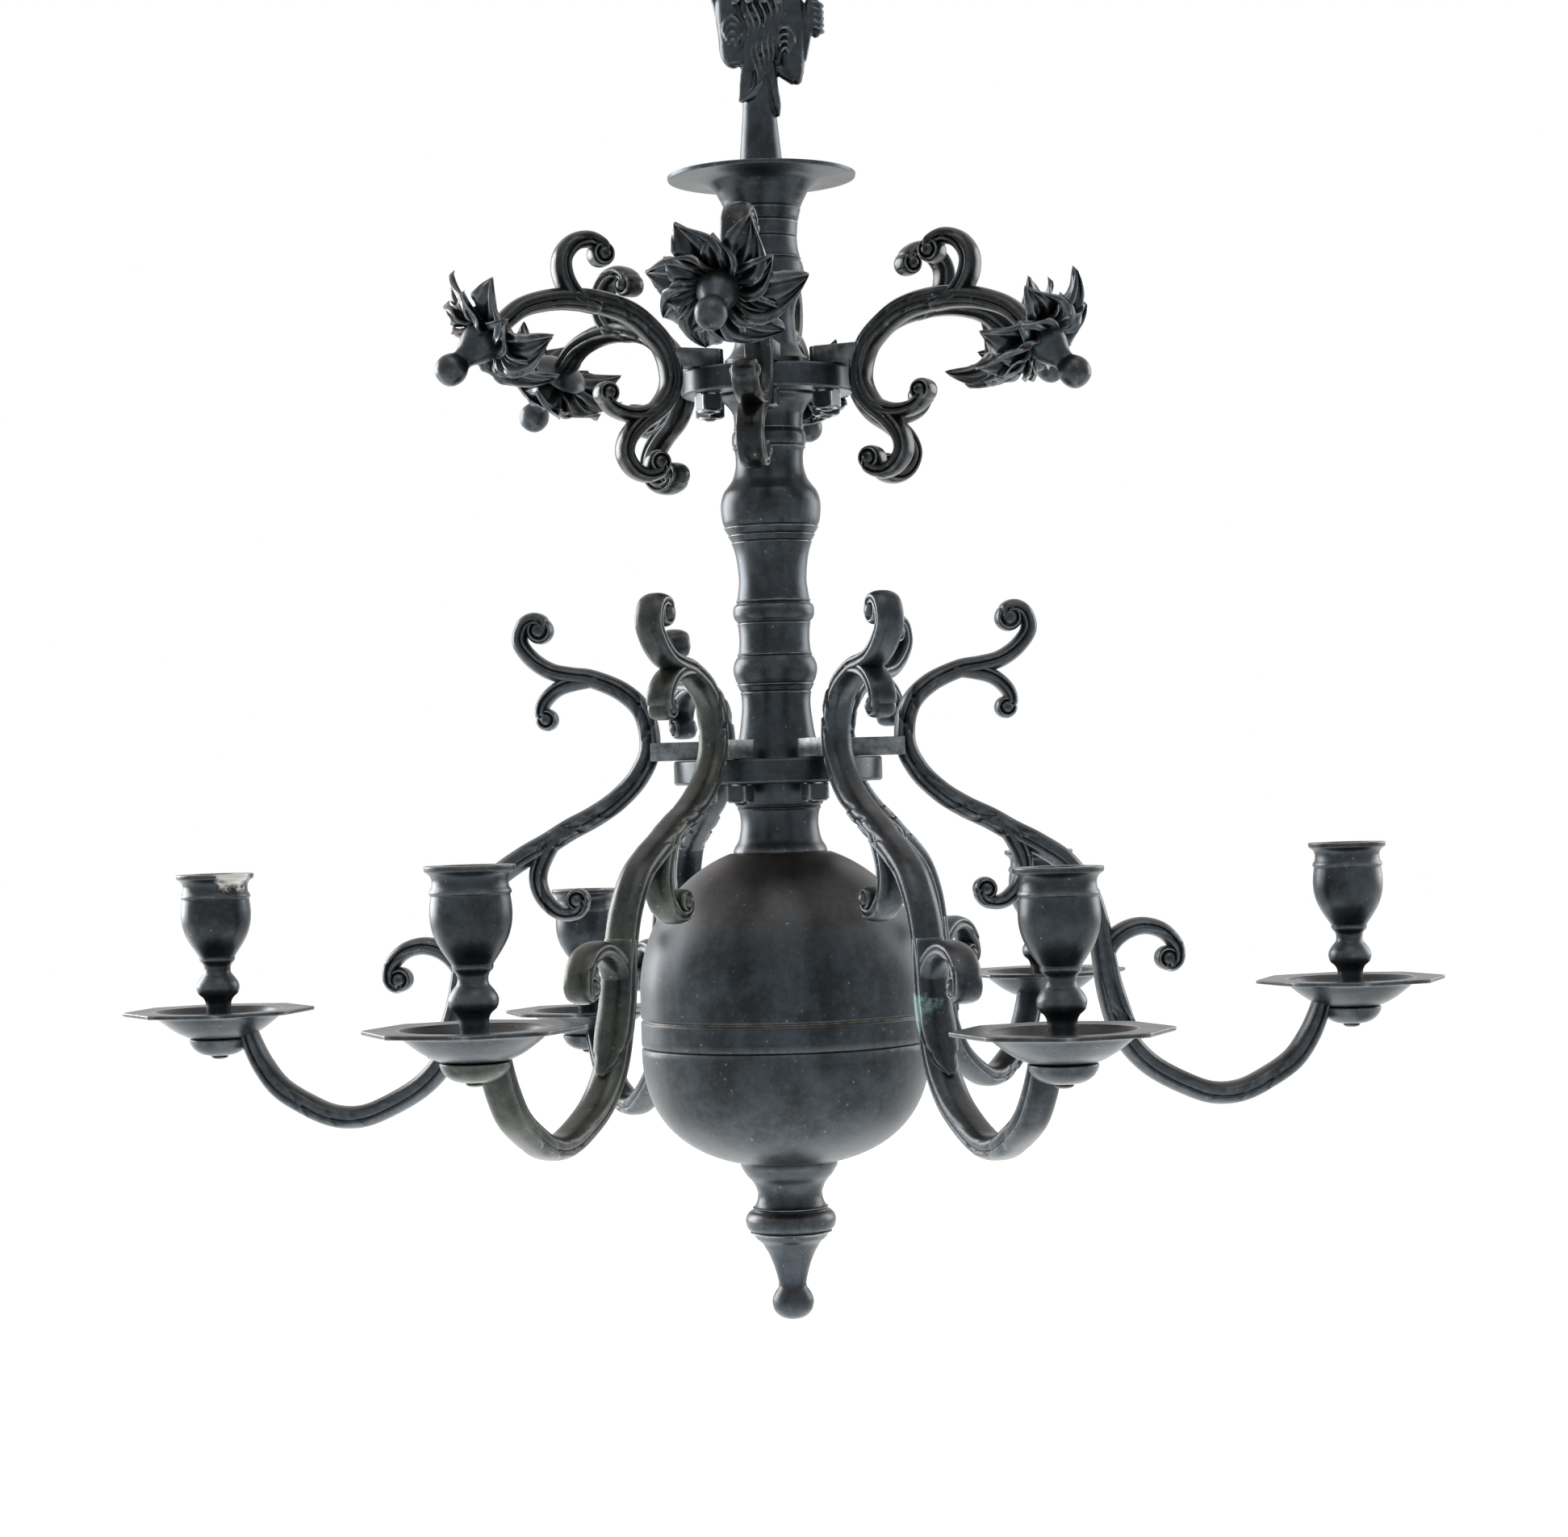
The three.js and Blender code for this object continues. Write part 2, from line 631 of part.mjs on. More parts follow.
// One spread wing seen from the front: a round shoulder over five hanging feathers.
function wing(side) {
  const outline = new THREE.Shape();
  outline.moveTo(6, 100);
  outline.quadraticCurveTo(9, 128, 26, 146);
  outline.quadraticCurveTo(38, 158, 50, 157);
  outline.quadraticCurveTo(61, 152, 62, 138);
  const feathers = [[58, 121], [50.5, 110], [41.5, 102], [32, 97], [23, 94]];
  feathers.forEach(([x, z]) => {
    outline.lineTo(x, z);
    outline.lineTo(x - 4.5, z + 8);
  });
  const blade = new THREE.ExtrudeGeometry(outline, { depth: 6, bevelEnabled: false, curveSegments: 2 })
    .translate(0, 0, -3)
    .rotateX(Math.PI / 2);
  return side < 0 ? blade.rotateZ(Math.PI) : blade;
}

// Two-headed spread eagle on its conical foot, with the suspension eye between the heads.
function figure() {
  const foot = turned([
    [0, 0], [figureFootRadius, 0], [8.2, 40], [0, 40],
  ], 10);
  const tail = skin([
    flutedRing(32, 8.8, 8.6, 0.6, 6), flutedRing(48, 11, 9, 0.6, 6), flutedRing(66, 11.5, 9, 1, 6),
    flutedRing(98, 16, 11, 0, 6),
  ]);
  const torso = new THREE.SphereGeometry(1, 8, 5).rotateX(Math.PI / 2).scale(18, 13, 26).translate(0, 0, 112);
  const leftLeg = strand([[-13, 100], [-21, 84], [-19.5, 69], [-12, 63]], [10, 11, 7], [11, 9], bothCrowned);
  const rightLeg = strand([[13, 100], [23.5, 82], [22, 66], [14, 53]], [10, 11, 6], [11, 9], bothCrowned);
  const head = (side) => strand(
    [[3, 126], [10, 142], [20, 153], [32, 145]].map(([x, z]) => [x * side, z]),
    [16, 11, 12, 1.5], [14, 10, 10, 2], bothCrowned,
  );
  const lug = new THREE.Shape();
  lug.moveTo(-9, 126);
  lug.lineTo(9, 126);
  lug.lineTo(eyeRimRadius * 0.8, eyeHeight - eyeRimRadius * 0.6);
  lug.absarc(0, eyeHeight, eyeRimRadius, -0.64, Math.PI + 0.64);
  lug.holes.push(new THREE.Path().absarc(0, eyeHeight, eyeHoleRadius, 0, Math.PI * 2, true));
  const eye = new THREE.ExtrudeGeometry(lug, { depth: eyeThickness, bevelEnabled: false, curveSegments: 8 })
    .translate(0, 0, -eyeThickness / 2)
    .rotateX(Math.PI / 2);
  const body = join(foot, tail, torso, leftLeg, rightLeg, head(1), head(-1), wing(1), wing(-1), eye);
  return cut(body, cylinder(rodBoreRadius * holeFactor, -1, rodGrip, pegSides));
}

function suspensionRing() {
  return new THREE.TorusGeometry(ringRadius, ringWireRadius, 6, ringSides).rotateY(Math.PI / 2);
}

function piece(name, geometry, finish) {
  const mesh = new THREE.Mesh(toGeometry(toSolid(geometry)), new THREE.MeshStandardMaterial(finish));
  mesh.name = name;
  return mesh;
}

const upwards = new THREE.Vector3(0, 0, 1);
const chandelier = new THREE.Group();
chandelier.position.z = -bearingHeight;

function addStem() {
  const stack = [
    ['cast_figure', figure(), figureSeat, bronze],
    ['stem_trumpet', stemTrumpet(), upperPlateTop, bronze],
    ['upper_arm_plate', armPlate(upperPlateRadius, upperPlateThickness, scrollPegCircle, firstScrollPeg),
      upperPlateBottom, bronze],
    ['stem_baluster', stemBaluster(), 0, bronze],
    ['lower_arm_plate', armPlate(lowerPlateRadius, lowerPlateThickness, candlePegCircle, firstCandlePeg),
      lowerPlateBottom, bronze],
    ['stem_spool', stemSpool(), ballTop, bronze],
    ['ball_upper_half', ballUpperHalf(), 0, bronze],
    ['ball_lower_half', ballLowerHalf(), 0, bronze],
    ['bottom_finial', bottomFinial(), 0, bronze],
    ['central_rod', centralRod(), 0, iron],
    ['suspension_ring', suspensionRing(), bearingHeight - ringRadius + ringWireRadius, iron],
  ];
  stack.forEach(([name, geometry, height, finish]) => {
    const mesh = piece(name, geometry, finish);
    mesh.position.z = height;
    chandelier.add(mesh);
  });
}

// One arm and what it carries, in a group at its peg, turned to its own direction.
function armGroup(angle, pegDirection, pegCircle, seatHeight) {
  const peg = new THREE.Group();
  peg.position.set(pegCircle, 0, seatHeight).applyAxisAngle(upwards, armTurn(pegDirection));
  peg.rotation.z = armTurn(angle);
  chandelier.add(peg);
  return peg;
}

function addCandleArms() {
  const pan = dripPan();
  const cup = candleCup();
  const nut = squareNut(lowerPlateThickness);
  candleArmAngles.forEach((angle, i) => {
    const bend = candleArmBends[i];
    const peg = armGroup(angle, pegAngle(firstCandlePeg, i), candlePegCircle, 0);
    const [seatReach, seatHeight] = bentPlace(candleArmReach, -candleArmDrop, candleTangReach, bend);
    const seat = new THREE.Group();
    seat.position.set(seatReach, 0, seatHeight);
    peg.add(seat);
    peg.add(piece(`candle_arm_${i + 1}`, candleArm(bend), i === 0 ? greenBronze : bronze));
    peg.add(piece(`candle_arm_nut_${i + 1}`, nut, iron));
    const turnedPan = piece(`drip_pan_${i + 1}`, pan, brownBronze);
    turnedPan.rotation.z = THREE.MathUtils.degToRad(panTurns[i]);
    seat.add(turnedPan);
    seat.add(piece(`candle_cup_${i + 1}`, cup, bronze));
  });
}

function addScrollArms() {
  const petals = flower();
  const tip = pistil();
  const nut = squareNut(upperPlateThickness);
  scrollArmAngles.forEach((angle, i) => {
    const bend = scrollArmBends[i];
    const peg = armGroup(angle, pegAngle(firstScrollPeg, i), scrollPegCircle, upperPlateTop);
    peg.add(piece(`scroll_arm_${i + 1}`, scrollArm(bend), bronze));
    peg.add(piece(`scroll_arm_nut_${i + 1}`, nut, iron));
    peg.add(piece(`flower_${i + 1}`, bentUp(petals.clone(), scrollTangReach, bend), brownBronze));
    peg.add(piece(`pistil_${i + 1}`, bentUp(tip.clone(), scrollTangReach, bend), bronze));
  });
}

addStem();
addCandleArms();
addScrollArms();

export default chandelier;
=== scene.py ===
import json
import math

import bmesh
import bpy
import numpy as np
from mathutils import Matrix, Vector, noise


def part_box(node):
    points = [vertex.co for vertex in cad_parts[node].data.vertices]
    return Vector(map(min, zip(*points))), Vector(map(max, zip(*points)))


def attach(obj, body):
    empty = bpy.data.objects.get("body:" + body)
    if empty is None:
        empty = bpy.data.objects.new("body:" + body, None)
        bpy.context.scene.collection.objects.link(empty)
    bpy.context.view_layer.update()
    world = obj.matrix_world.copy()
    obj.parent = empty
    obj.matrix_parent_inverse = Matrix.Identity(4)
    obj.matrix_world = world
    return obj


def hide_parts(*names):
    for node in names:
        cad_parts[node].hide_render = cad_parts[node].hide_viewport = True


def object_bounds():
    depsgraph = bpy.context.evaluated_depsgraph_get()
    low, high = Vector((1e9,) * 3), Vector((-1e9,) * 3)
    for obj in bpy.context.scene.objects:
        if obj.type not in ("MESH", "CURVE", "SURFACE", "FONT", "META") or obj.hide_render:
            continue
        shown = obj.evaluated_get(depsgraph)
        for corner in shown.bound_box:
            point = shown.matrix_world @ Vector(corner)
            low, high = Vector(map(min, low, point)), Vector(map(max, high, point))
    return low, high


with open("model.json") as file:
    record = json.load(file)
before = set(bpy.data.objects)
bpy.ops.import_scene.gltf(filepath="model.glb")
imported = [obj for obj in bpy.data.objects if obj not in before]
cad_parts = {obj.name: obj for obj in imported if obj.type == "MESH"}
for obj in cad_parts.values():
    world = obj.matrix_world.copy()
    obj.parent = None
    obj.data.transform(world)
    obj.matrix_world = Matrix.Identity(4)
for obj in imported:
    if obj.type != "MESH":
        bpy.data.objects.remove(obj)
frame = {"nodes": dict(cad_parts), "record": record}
CAD_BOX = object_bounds()

bl_info = {
    "name": "Candle chandelier",
    "version": (1, 0, 0),
    "blender": (4, 5, 0),
    "location": "3D View > Sidebar > Chandelier",
    "description": "Dresses a six-light patinated bronze chandelier over its measured frame",
    "category": "Object",
}

MM = 0.001
PHOTO_WIDTH = 1943
BODY_OF = {node: body for body, nodes in frame["record"]["behaviour"]["bodies"].items() for node in nodes}
LOWER_PLATE_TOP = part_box("lower_arm_plate")[1].z
UPPER_PLATE_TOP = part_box("upper_arm_plate")[1].z

# Arms, in degrees: the way that each points, from the front, the way to its evenly spaced peg, how far it
# was bent up in use, and the turn of each pan
CANDLE_ARM_ANGLES = (-26, 23.3, 95.8, 149, 203.5, 264.4)
SCROLL_ARM_ANGLES = (-10.4, 62, 117.2, 170.7, 225.5, 294.8)
CANDLE_PEG_ANGLES = (-31, 29, 89, 149, 209, 269)
SCROLL_PEG_ANGLES = (0, 60, 120, 180, 240, 300)
CANDLE_ARM_BENDS = (1.9, 0, 0, -1.2, -5.2, 0)
SCROLL_ARM_BENDS = (9.4, -1, 9.4, 0, 2, 4)
PAN_TURNS = (3.5, -1.5, 17.5, 12, -6, -9)

# Distances from the stem's axis and drops from the arm plates, in millimetres
CANDLE_PEG_CIRCLE = 36
CANDLE_TANG_END = 61
CANDLE_REACH = 286
CANDLE_DROP = 132.5
SCROLL_PEG_CIRCLE = 33.5
SCROLL_TANG_END = 52
FLOWER_REACH = 141
FLOWER_RISE = 13
FLOWER_TILT = 135
ROD_HOLE = 5.3
BALL = 71.4

# Middle of the verdigris patch on the second candle arm, and of the wax on the sixth cup, in metres
VERDIGRIS_PLACE = (0.062, -0.146, -0.607)
WAX_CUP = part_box("candle_cup_6")
WAX_PLACE = (WAX_CUP[0].x + 0.031, WAX_CUP[0].y + 0.006, WAX_CUP[1].z + 0.003)


def linear(code):
    """Linear colour of an sRGB hex value."""
    channels = [int(code[i:i + 2], 16) / 255 for i in (0, 2, 4)]
    return tuple(c / 12.92 if c <= 0.04045 else ((c + 0.055) / 1.055) ** 2.4 for c in channels)


def colour(name, description, code):
    """A colour setting with its default written as an sRGB hex value."""
    return bpy.props.FloatVectorProperty(
        name=name, description=description, default=linear(code), subtype="COLOR", size=3, min=0, max=1)


def length(name, description, millimetres):
    """A length setting with its default written in millimetres."""
    return bpy.props.FloatProperty(
        name=name, description=description, default=millimetres * MM, min=0, precision=4,
        subtype="DISTANCE", unit="LENGTH")


def amount(name, description, default, unit="NONE"):
    """A plain number setting."""
    return bpy.props.FloatProperty(name=name, description=description, default=default, min=0, unit=unit)


def whole(name, description, default, least, most):
    """A whole number setting."""
    return bpy.props.IntProperty(name=name, description=description, default=default, min=least, max=most)


class StageSettings(bpy.types.PropertyGroup):
    floor_drop: length("Floor drop", "Height of the finial's tip over the floor", 260)
    floor_size: length("Floor size", "Side of the square floor", 14000)
    floor_colour: colour("Floor colour", "Colour of the floor and of the paper behind", "f4f4f2")
    left_light: amount("Left light", "Power of the large soft light on the left", 72, "POWER")
    right_light: amount("Right light", "Power of the large soft light on the right", 28, "POWER")
    top_light: amount("Top light", "Power of the large soft light above", 9, "POWER")
    low_light: amount("Low light", "Power of the soft light that the floor throws up", 2, "POWER")
    fill: amount("Fill", "Strength of the even light from all round", 0.5)


class BronzeSettings(bpy.types.PropertyGroup):
    dark: colour("Dark patina", "Darkest patches of the patina", "1c2023")
    slate: colour("Slate patina", "Blue-grey patches where the patina has worn thin", "3a4249")
    # Brown on faces that look up is partly dust and handling and partly painted light from above
    brown: colour("Brown patina", "Brown tint of upper faces and pans", "4b4541")
    green: colour("Green patina", "Olive tint of the one arm that was kept apart", "41463d")
    # Soot is the near-black ground of the darkest finishes and also painted shade in hollows
    soot_and_shade: colour("Soot", "Near black of deep hollows", "121314")
    verdigris: colour("Verdigris", "Blue-green of the one patch of verdigris", "6f8d8e")
    wax: colour("Wax", "White of candle wax left on one rim", "d9d7d0")
    bloom: colour("Bloom", "Pale blue-grey bloom and dust in pits and hollows", "7d8a8e")
    brass: colour("Bare bronze", "Metal that shows in grooves and chips", "b9a877")
    red: colour("Red oxide", "Red-brown tint of thin rubbed edges", "6d4b3d")
    # The rubbed grey is real wear and scratches and also a painted highlight along raised edges
    wear_and_sheen: colour("Rubbed edge", "Grey shine of edges that were handled", "a6adb1")
    iron: colour("Iron", "Old forged iron of ring, rod and nuts", "2b2c2d")


class TurnedSettings(bpy.types.PropertyGroup):
    sides: whole("Sides", "Flat sides that stand for a turned round", 120, 24, 256)
    edge: length("Edge rounding", "Radius that the lathe tool left on sharp edges", 0.4)
    groove: length("Groove depth", "Depth of the fine turned lines", 0.7)


class ArmSettings(bpy.types.PropertyGroup):
    step: length("Step", "Distance between the sections of a cast bar", 0.95)
    section_points: whole("Section points", "Points round a bar's section", 56, 12, 96)
    rim: length("Rim", "Height of the raised rims along a bar's sides", 0.5)
    hollow: length("Channel", "Depth of the channel between the rims", 0.85)
    notch: length("Leaf notch", "Depth under the tips of the laid leaves", 1.3)
    notch_spacing: length("Notch spacing", "Distance from one leaf tip to the next", 21)


GROUPS = {"stage": StageSettings, "bronze": BronzeSettings, "turned": TurnedSettings, "arms": ArmSettings}


def settings(kind):
    """The scene's values of one settings group."""
    return getattr(bpy.context.scene, kind)


# Node trees

def add(tree, kind, inputs=None, stops=(), **values):
    """Adds a node, sets its values, and fills its inputs with numbers, with other nodes' sockets or with
    nodes, which stand for their first output in use. stops are a colour ramp's (place, brightness)."""
    node = tree.nodes.new(kind)
    for key, value in values.items():
        setattr(node, key, value)
    for key, value in (inputs or {}).items():
        socket = node.inputs[key] if isinstance(key, int) else next(
            socket for socket in node.inputs if socket.enabled and socket.name == key)
        if isinstance(value, bpy.types.Node):
            value = next(output for output in value.outputs if output.enabled)
        if isinstance(value, bpy.types.NodeSocket):
            tree.links.new(value, socket)
        else:
            socket.default_value = value
    for i, (place, brightness) in enumerate(stops):
        point = node.color_ramp.elements[i] if i < 2 else node.color_ramp.elements.new(place)
        point.position = place
        point.color = (brightness, brightness, brightness, 1)
    return node


def emptied_tree(owner):
    """The node tree of a material or a world, without its first nodes."""
    owner.use_nodes = True
    owner.node_tree.nodes.clear()
    return owner.node_tree


def seen_share(tree):
    """1 for rays that reach the eye, straight, mirrored or through glass, and 0 for the rest."""
    path = add(tree, "ShaderNodeLightPath").outputs
    seen = 0.0
    for kind in ("Is Camera Ray", "Is Glossy Ray", "Is Transmission Ray"):
        seen = add(tree, "ShaderNodeMath", {0: seen, 1: path[kind]}, operation="MAXIMUM")
    return seen


def patinated(name, ground="dark", thin="slate", top_tint="brown", tip_tint="red", top_share=0.45,
              tip_share=0.3, wear_and_sheen_share=0.6, bare_share=0.0, cast=0.9, hollow=0.02, gloss=0.3, stain=None):
    """Bronze darkened by patina, with its colours named as in the bronze settings. ground and thin are the
    two colours of its mottling; top_tint is the tint of faces that look up, partly dust and partly painted
    light from above, tip_tint that of thin edges; bare_share is how much bare metal its grooves show; cast is
    how grainy the sand mould left it; hollow is how deep a hollow must be to take soot and painted shade;
    gloss is the middle of its roughness; stain is the colour, middle and reach of one stain."""
    bronze = settings("bronze")
    material = bpy.data.materials.new(name)
    tree = emptied_tree(material)
    place = add(tree, "ShaderNodeTexCoord")
    spot = place.outputs["Object"]
    facing = add(tree, "ShaderNodeSeparateXYZ", {"Vector": place.outputs["Normal"]})
    edge = add(tree, "ShaderNodeAttribute", attribute_name="edge").outputs["Fac"]
    sunk = add(tree, "ShaderNodeMath", {0: edge, 1: -1.0}, operation="MULTIPLY")

    # Clouds 20 mm across, flecks of 5 mm and the grain of the metal; specks of 1 mm, as dust and lime in the
    # pits; and fine scratches from years of hanging and polishing
    clouds, flecks, grain = (
        add(tree, "ShaderNodeTexNoise", {
            "Vector": spot, "Scale": scale, "Detail": detail, "Roughness": rough})
        for scale, detail, rough in ((52.0, 8.0, 0.72), (210.0, 4.0, 0.7), (900.0, 3.0, 0.6)))
    specks = add(tree, "ShaderNodeTexVoronoi", {"Vector": spot, "Scale": 240.0, "Randomness": 1.0})
    drawn = add(tree, "ShaderNodeVectorMath", {0: spot, 1: (1.0, 1.0, 0.12)}, operation="MULTIPLY")
    lines = add(tree, "ShaderNodeTexNoise", {
        "Vector": drawn, "Scale": 700.0, "Detail": 1.0, "Distortion": 2.5})

    # How much of each pattern shows, from two stops on a ramp, and then where two of them meet
    shown = {key: add(tree, "ShaderNodeValToRGB", {"Fac": source}, stops) for key, source, *stops in (
        ("clouded", clouds, (0.4, 0), (0.72, 1)),
        ("patchy", clouds, (0.56, 0), (0.72, 0.7)),
        ("blotchy", clouds, (0.3, 0.45 * top_share), (0.6, top_share)),
        ("flecked", flecks, (0.5, 0), (0.72, 0.35)),
        ("sparse", flecks, (0.52, 0), (0.6, 1)),
        ("uneven", flecks, (0.36, 0.35), (0.6, 1)),
        ("chipped", flecks, (0.4, 0.15 * bare_share), (0.56, bare_share)),
        ("dots", specks, (0.07, 0.55), (0.17, 0)),
        ("scratches", lines, (0.66, 0), (0.74, 0.4)),
        ("upward", facing.outputs["Z"], (0.2, 0), (0.85, 1)),
        ("ridges", edge, (0.04, 0), (0.26, 1)),
        # Hollows that take soot and painted shade
        ("sooty", sunk, (hollow, 0), (hollow + 0.18, 0.8)),
        ("deep", sunk, (hollow + 0.02, 0), (hollow + 0.15, 1)))}
    for key, first, second in (
            # Faces that look up take brown, partly dust and partly painted light from above
            ("browned", "upward", "blotchy"), ("specked", "dots", "sparse"),
            ("scratched", "scratches", "flecked"), ("bloomed", "deep", "patchy"),
            # Raised edges take pale wear and a painted highlight
            ("bared", "deep", "chipped"), ("raised", "ridges", "uneven"), ("wear_and_sheen", "raised", wear_and_sheen_share),
            ("tips", "upward", tip_share), ("tipped", "tips", "raised")):
        second = shown.get(second, second)
        shown[key] = add(tree, "ShaderNodeMath", {0: shown[first], 1: second}, operation="MULTIPLY")

    # Mottling, brown on faces that look up, partly dust and handling and partly painted light from above,
    # specks and scratches, hollows blackened with soot and painted shade, with bloom or bare metal in them,
    # and rubbed edges made pale grey with wear and a painted highlight, or tinted where they look up
    tone = (*getattr(bronze, ground), 1)
    for key, over in (
            ("clouded", thin), ("flecked", thin), ("browned", top_tint), ("specked", "bloom"),
            ("scratched", "wear_and_sheen"), ("sooty", "soot_and_shade"), ("bloomed", "bloom"), ("bared", "brass"),
            ("wear_and_sheen", "wear_and_sheen"), ("tipped", tip_tint)):
        tone = add(tree, "ShaderNodeMix", {"Factor": shown[key], "A": tone, "B": (*getattr(bronze, over), 1)},
                   data_type="RGBA")

    # The patina takes some of the metal's shine, and a stain all of it
    metal = 0.7
    if stain:
        over, middle, reach = stain
        away = add(tree, "ShaderNodeVectorMath", {0: spot, 1: middle}, operation="DISTANCE").outputs["Value"]
        away = add(tree, "ShaderNodeMath", {0: away, 1: 1 / reach}, operation="MULTIPLY")
        away = add(tree, "ShaderNodeMath", {0: flecks, 1: 0.9, 2: away}, operation="MULTIPLY_ADD")
        stained = add(tree, "ShaderNodeValToRGB", {"Fac": away}, [(0.8, 0.9), (1.0, 0)])
        tone = add(tree, "ShaderNodeMix", {"Factor": stained, "A": tone, "B": (*getattr(bronze, over), 1)},
                   data_type="RGBA")
        metal = add(tree, "ShaderNodeMapRange", {"Value": stained, "To Min": metal, "To Max": 0.0})

    satin = add(tree, "ShaderNodeMapRange", {
        "Value": clouds, "From Min": 0.3, "From Max": 0.7, "To Min": gloss - 0.06, "To Max": gloss + 0.06})
    satin = add(tree, "ShaderNodeMath", {0: grain, 1: 0.08, 2: satin}, operation="MULTIPLY_ADD")
    height = add(tree, "ShaderNodeMath", {0: grain, 1: 0.35}, operation="MULTIPLY")
    height = add(tree, "ShaderNodeMath", {0: flecks, 1: cast, 2: height}, operation="MULTIPLY_ADD")
    bump = add(tree, "ShaderNodeBump", {"Height": height, "Strength": 0.35, "Distance": 0.25 * MM})
    shader = add(tree, "ShaderNodeBsdfPrincipled", {
        "Base Color": tone, "Metallic": metal, "Roughness": satin, "Normal": bump})
    add(tree, "ShaderNodeOutputMaterial", {"Surface": shader})
    return material


# What sets each finish apart from plain sand-cast bronze
FINISHES = {
    # Sand-cast bronze: dark and grainy, its rims rubbed and given a painted grey highlight, its hollows black
    # with soot and painted shade
    "cast_bronze": {},
    # Lathe-turned bronze: smooth and satin, with clean grooves darkened with painted shade, and red-brown
    # rims
    "turned_bronze": dict(top_share=0.5, tip_share=0.9, bare_share=0.15, cast=0.15, hollow=0.07),
    # The hollow ball: browner above, partly dust and partly painted light from above, its grooves chipped to
    # pale bare metal
    "ball_bronze": dict(top_share=0.8, tip_share=0.2, wear_and_sheen_share=0.4, bare_share=0.8, cast=0.2, hollow=0.03,
                        gloss=0.36),
    # Small scroll arms: nearly black, hollows and all, with glossy round backs
    "black_bronze": dict(ground="soot_and_shade", thin="dark", top_share=0.3, tip_share=0.5, cast=0.6, gloss=0.22),
    # The one arm whose patina turned olive
    "olive_bronze": dict(thin="green", tip_tint="brown", top_share=0.35, tip_share=0.2, wear_and_sheen_share=0.5),
    # The arm with a patch of verdigris beside the ball
    "spotted_bronze": dict(stain=("verdigris", VERDIGRIS_PLACE, 0.020)),
    # The cup with candle wax left along its rim
    "waxed_bronze": dict(top_share=0.5, tip_share=0.9, bare_share=0.15, cast=0.15, hollow=0.07,
                         stain=("wax", WAX_PLACE, 0.022)),
    # Pans: slate below, browned above, partly where wax was wiped off and partly painted light from above,
    # and pale along the flange's edge with wear and a painted highlight
    "pan_bronze": dict(tip_tint="wear_and_sheen", top_share=0.7, tip_share=0.5, wear_and_sheen_share=0.9, cast=0.5, hollow=0.05),
    # Thin cast petals, near black all over, partly their own dark patina and partly painted shade, black in
    # their channels with painted shade, and red-brown along the upper edges
    "petal_bronze": dict(ground="soot_and_shade", top_share=0.3, tip_share=1.0, wear_and_sheen_share=0.5, cast=0.7, hollow=0.0,
                         gloss=0.26),
    # Forged iron: dull, dark and hammered, with bright filed corners, pale with wear and a painted highlight
    "old_iron": dict(ground="iron", top_share=0.3, wear_and_sheen_share=1.0, cast=1.0, hollow=0.03),
}


def finish(name):
    """One of the object's finishes, made the first time that a piece asks for it."""
    return bpy.data.materials.get(name) or patinated(name, **FINISHES[name])


# Mesh helpers

def placed(name, data):
    """A new object in the scene."""
    made = bpy.data.objects.new(name, data)
    bpy.context.scene.collection.objects.link(made)
    return made


def dropped(thing):
    """Takes an object and its mesh away again."""
    mesh = thing.data
    bpy.data.objects.remove(thing)
    bpy.data.meshes.remove(mesh)


def worked_out(carrier):
    """The plain mesh that an object's modifiers make. The object doesn't stay."""
    view = bpy.context.evaluated_depsgraph_get()
    view.update()
    mesh = bpy.data.meshes.new_from_object(carrier.evaluated_get(view))
    dropped(carrier)
    return mesh


def mesh_from(name, points, faces):
    """A mesh in metres from points in metres, with its faces turned outwards."""
    mesh = bpy.data.meshes.new(name)
    mesh.from_pydata([tuple(p) for p in points], [], faces)
    form = bmesh.new()
    form.from_mesh(mesh)
    bmesh.ops.recalc_face_normals(form, faces=form.faces)
    if form.calc_volume(signed=True) < 0:
        bmesh.ops.reverse_faces(form, faces=form.faces)
    form.to_mesh(mesh)
    form.free()
    return mesh


def merged(name, *meshes):
    """One mesh that holds several, which are then removed."""
    form = bmesh.new()
    for mesh in meshes:
        form.from_mesh(mesh)
    together = bpy.data.meshes.new(name)
    form.to_mesh(together)
    form.free()
    for mesh in meshes:
        bpy.data.meshes.remove(mesh)
    return together


def read(items, key, width=3, kind=float):
    """One property of a mesh's points or edges as an array of rows."""
    values = np.empty(len(items) * width, kind)
    items.foreach_get(key, values)
    return values.reshape(-1, width)


def mark_edges(mesh):
    """Stores in "edge" how far each point stands out of its surroundings, above 0 on ridges and below 0 in
    hollows, for the finishes to lighten ridges with wear and a painted highlight and to darken hollows with
    soot and painted shade."""
    points, normals = read(mesh.vertices, "co"), read(mesh.vertices, "normal")
    first, second = read(mesh.edges, "vertices", 2, int).T
    ways = ((first, second), (second, first))
    reach = np.linalg.norm(points[second] - points[first], axis=1) + 1e-9
    stand, neighbours = np.zeros(len(points)), np.zeros(len(points))
    for here, there in ways:
        np.add.at(stand, here, ((points[here] - points[there]) * normals[here]).sum(1) / reach)
        np.add.at(neighbours, here, 1)
    stand /= np.maximum(neighbours, 1)
    for _ in range(2):
        total = stand * 2
        for here, there in ways:
            np.add.at(total, here, stand[there])
        stand = total / (neighbours + 2)
    layer = mesh.attributes.get("edge") or mesh.attributes.new("edge", "FLOAT", "POINT")
    layer.data.foreach_set("value", stand.astype(np.float32))


def smooth_step(low, high, value):
    """0 below low, 1 above high and smooth between."""
    share = np.clip((value - low) / (high - low), 0, 1)
    return share * share * (3 - 2 * share)


